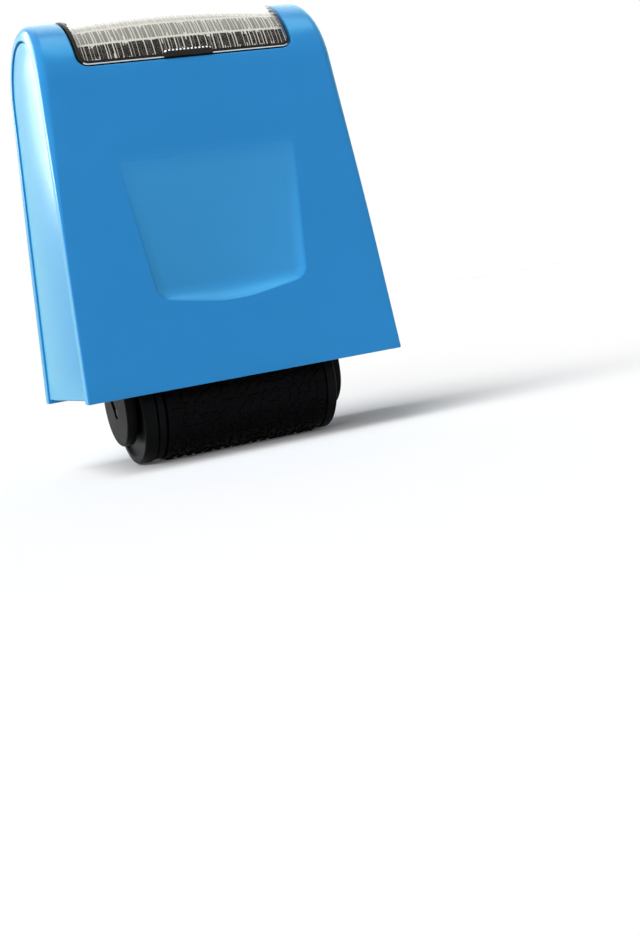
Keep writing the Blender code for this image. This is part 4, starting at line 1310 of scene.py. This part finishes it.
def make_floor():
    """A pale floor that keeps the stamp's shadow and is white where light falls on it."""
    bpy.ops.mesh.primitive_plane_add(size=FLOOR_SIZE)
    floor = bpy.context.object
    floor.name = "floor"
    tree, shader = new_finish("floor")[:2]
    fill(tree, shader, {"Base Color": FLOOR_COLOUR, "Roughness": FLOOR_ROUGHNESS, "Specular IOR Level": 0.0})
    glow = new_node(tree, "Emission", {"Strength": seen_strength(tree, FLOOR_GLOW, 0.0)}).outputs[0]
    added = new_node(tree, "AddShader", {0: shader.outputs[0], 1: glow}).outputs[0]
    fill(tree, tree.nodes["Material Output"], {"Surface": added})
    floor.data.materials.append(FINISHES["floor"])


def seen_strength(tree, seen, other):
    """A strength for rays that show a surface, and another for the light it gives."""
    path = new_node(tree, "LightPath", {}).outputs
    shown = calculate(tree, "MAXIMUM", path["Is Camera Ray"], path["Is Glossy Ray"])
    shown = calculate(tree, "MAXIMUM", shown, path["Is Transmission Ray"])
    return calculate(tree, "MULTIPLY_ADD", shown, seen - other, other)


def make_world():
    """White where it is seen, and an even soft light otherwise."""
    world = bpy.data.worlds.new("studio")
    world.use_nodes = True
    tree = world.node_tree
    fill(tree, tree.nodes["Background"], {"Strength": seen_strength(tree, 1.0, AMBIENT), "Color": WHITE})
    bpy.context.scene.world = world


def make_lamp(name, kind, place, target):
    """A lamp at a place, turned to a point."""
    lamp = bpy.data.objects.new(name, bpy.data.lights.new(name, kind))
    bpy.context.scene.collection.objects.link(lamp)
    lamp.location = place
    lamp.rotation_euler = (Vector(target) - Vector(place)).to_track_quat("-Z", "Y").to_euler()
    lamp.visible_camera = False
    return lamp


def make_sky_lamp(name, place, level, degrees):
    """A wide soft light that is as strong everywhere on the floor."""
    lamp = make_lamp(name, "SUN", place, (0, 0, 0))
    lamp.data.energy = level * math.pi
    lamp.data.angle = math.radians(degrees)
    lamp.visible_glossy = False
    lamp.visible_transmission = False


def make_panel(name, place, size, level):
    """A bright panel that shows only as a reflection."""
    lamp = make_lamp(name, "AREA", place, STAMP_MIDDLE)
    lamp.data.size = size
    lamp.data.energy = level * math.pi * size ** 2
    lamp.visible_diffuse = False
    return lamp


def make_housing_panel(name, place, size, level):
    """A panel that shows as a reflection on the housing and its covers alone."""
    group = bpy.data.collections.new(name)
    for piece in ("shell_moulding", "left_cover_panel", "right_cover_panel"):
        group.objects.link(bpy.data.objects[piece])
    make_panel(name, place, size, level).light_linking.receiver_collection = group


def make_camera():
    """The photograph's viewpoint. The sensor's width is the picture's longer side."""
    data = bpy.data.cameras.new("photo_camera")
    data.sensor_fit = "AUTO"
    data.sensor_width = SENSOR_WIDTH
    data.lens = FOCAL_PIXELS / FRAME_HEIGHT_PIXELS * data.sensor_width
    data.clip_start = CLIP_START
    camera = bpy.data.objects.new("photo_camera", data)
    right = FORWARD.cross(UPWARD).normalized()
    upward = right.cross(FORWARD)
    camera.matrix_world = Matrix.Translation(EYE) @ Matrix((right, upward, -FORWARD)).transposed().to_4x4()
    bpy.context.scene.collection.objects.link(camera)
    bpy.context.scene.camera = camera


moulded_plastic("blue_plastic", BLUE, roughness=0.24, drift=0.02, shine=0.36, recess_colour=LIGHTER_RECESS_BLUE,
                haze=BLUE_HAZE)
clear_plastic("clear_plastic", CLEAR_TINT, roughness=0.02)
# Painted shade and painted highlight finishes for the window's edges and the grip
moulded_plastic("painted_shade_plastic", SHADE_DARK, roughness=0.25, shine=0.2)
moulded_plastic("painted_highlight_plastic", HIGHLIGHT_WHITE, roughness=0.35)
marked_card("card", SHADED_PAPER, CARD_INK)
moulded_plastic("black_plastic", BLACK, roughness=0.38, grain=ROUGH_GRAIN, drift=0.15, shine=0.04)
moulded_plastic("bush_plastic", ACETAL, roughness=0.42, drift=0.04)
inked_rubber("rubber")
ink_felt("felt")
turned_steel("dark_steel", BLACKENED, roughness=0.32, streaks=(300.0, 6000.0, 6000.0))
turned_steel("spring_steel", BRIGHT, roughness=0.26, streaks=(2500.0, 2500.0, 2500.0))
turned_steel("screw_steel", ZINC, roughness=0.34, streaks=(3000.0, 3000.0, 400.0))

make_camera()
make_world()
make_floor()
for name, place, level, degrees in SKY_LAMPS:
    make_sky_lamp(name, place, level, degrees)
make_panel("back_panel", (0.35, 0.75, 0.75), size=0.9, level=1.2)

make_shell()
make_bosses()
make_cover("left_cover_panel", -1, "left_side_cover")
make_cover("right_cover_panel", 1, "right_side_cover")
make_window()
make_grip()
make_card()
make_housing_panel("left_panel", (-0.514, 0.613, 0.44), size=0.58, level=10.5)
make_housing_panel("top_panel", (0.22, -0.18, 0.95), size=0.55, level=4.0)

make_flange("left_flange_disc", "left_flange", 1)
make_flange("right_flange_disc", "right_flange", -1)
make_ring("collar_ring", "roller_collar", "black_plastic", "print_roller", SLEEVE_BORE, COLLAR_ROUND,
          RING_STEPS)
make_ring("core_tube", "print_core", "black_plastic", "print_roller", CORE_BORE, CORE_ROUND, CORE_STEPS)
make_sleeve()
for hand in ("left", "right"):
    make_ring(f"{hand}_bush_ring", f"{hand}_bush", "bush_plastic", "print_roller", BUSH_BORE, BUSH_ROUND,
              PIN_STEPS)
make_ring("print_axle_pin", "print_axle", "dark_steel", "cartridge", PIN_BORE, CORE_ROUND, PIN_STEPS)

make_ring("ink_core_tube", "ink_core", "bush_plastic", "ink_roller", BUSH_BORE, CORE_ROUND, INK_CORE_STEPS)
make_felt()
make_ring("ink_axle_pin", "ink_axle", "dark_steel", "ink_carriage", PIN_BORE, CORE_ROUND, PIN_STEPS)
for hand in ("left", "right"):
    make_softened(f"{hand}_sliding_block", f"{hand}_ink_block", "bush_plastic", "ink_carriage", BLOCK_ROUND)
    make_spring(f"{hand}_coil_spring", f"{hand}_ink_spring")

make_softened("cartridge_moulding", "cartridge_frame", "black_plastic", "cartridge")
make_softened("cap_moulding", "cartridge_cap", "black_plastic", "cartridge")
make_softened("chassis_moulding", "chassis", "black_plastic", "housing", CHASSIS_ROUND)
for number in SCREWS:
    make_softened(f"screw_{number}", f"chassis_screw_{number}", "screw_steel", "housing")

bpy.context.scene.view_settings.view_transform = "Standard"
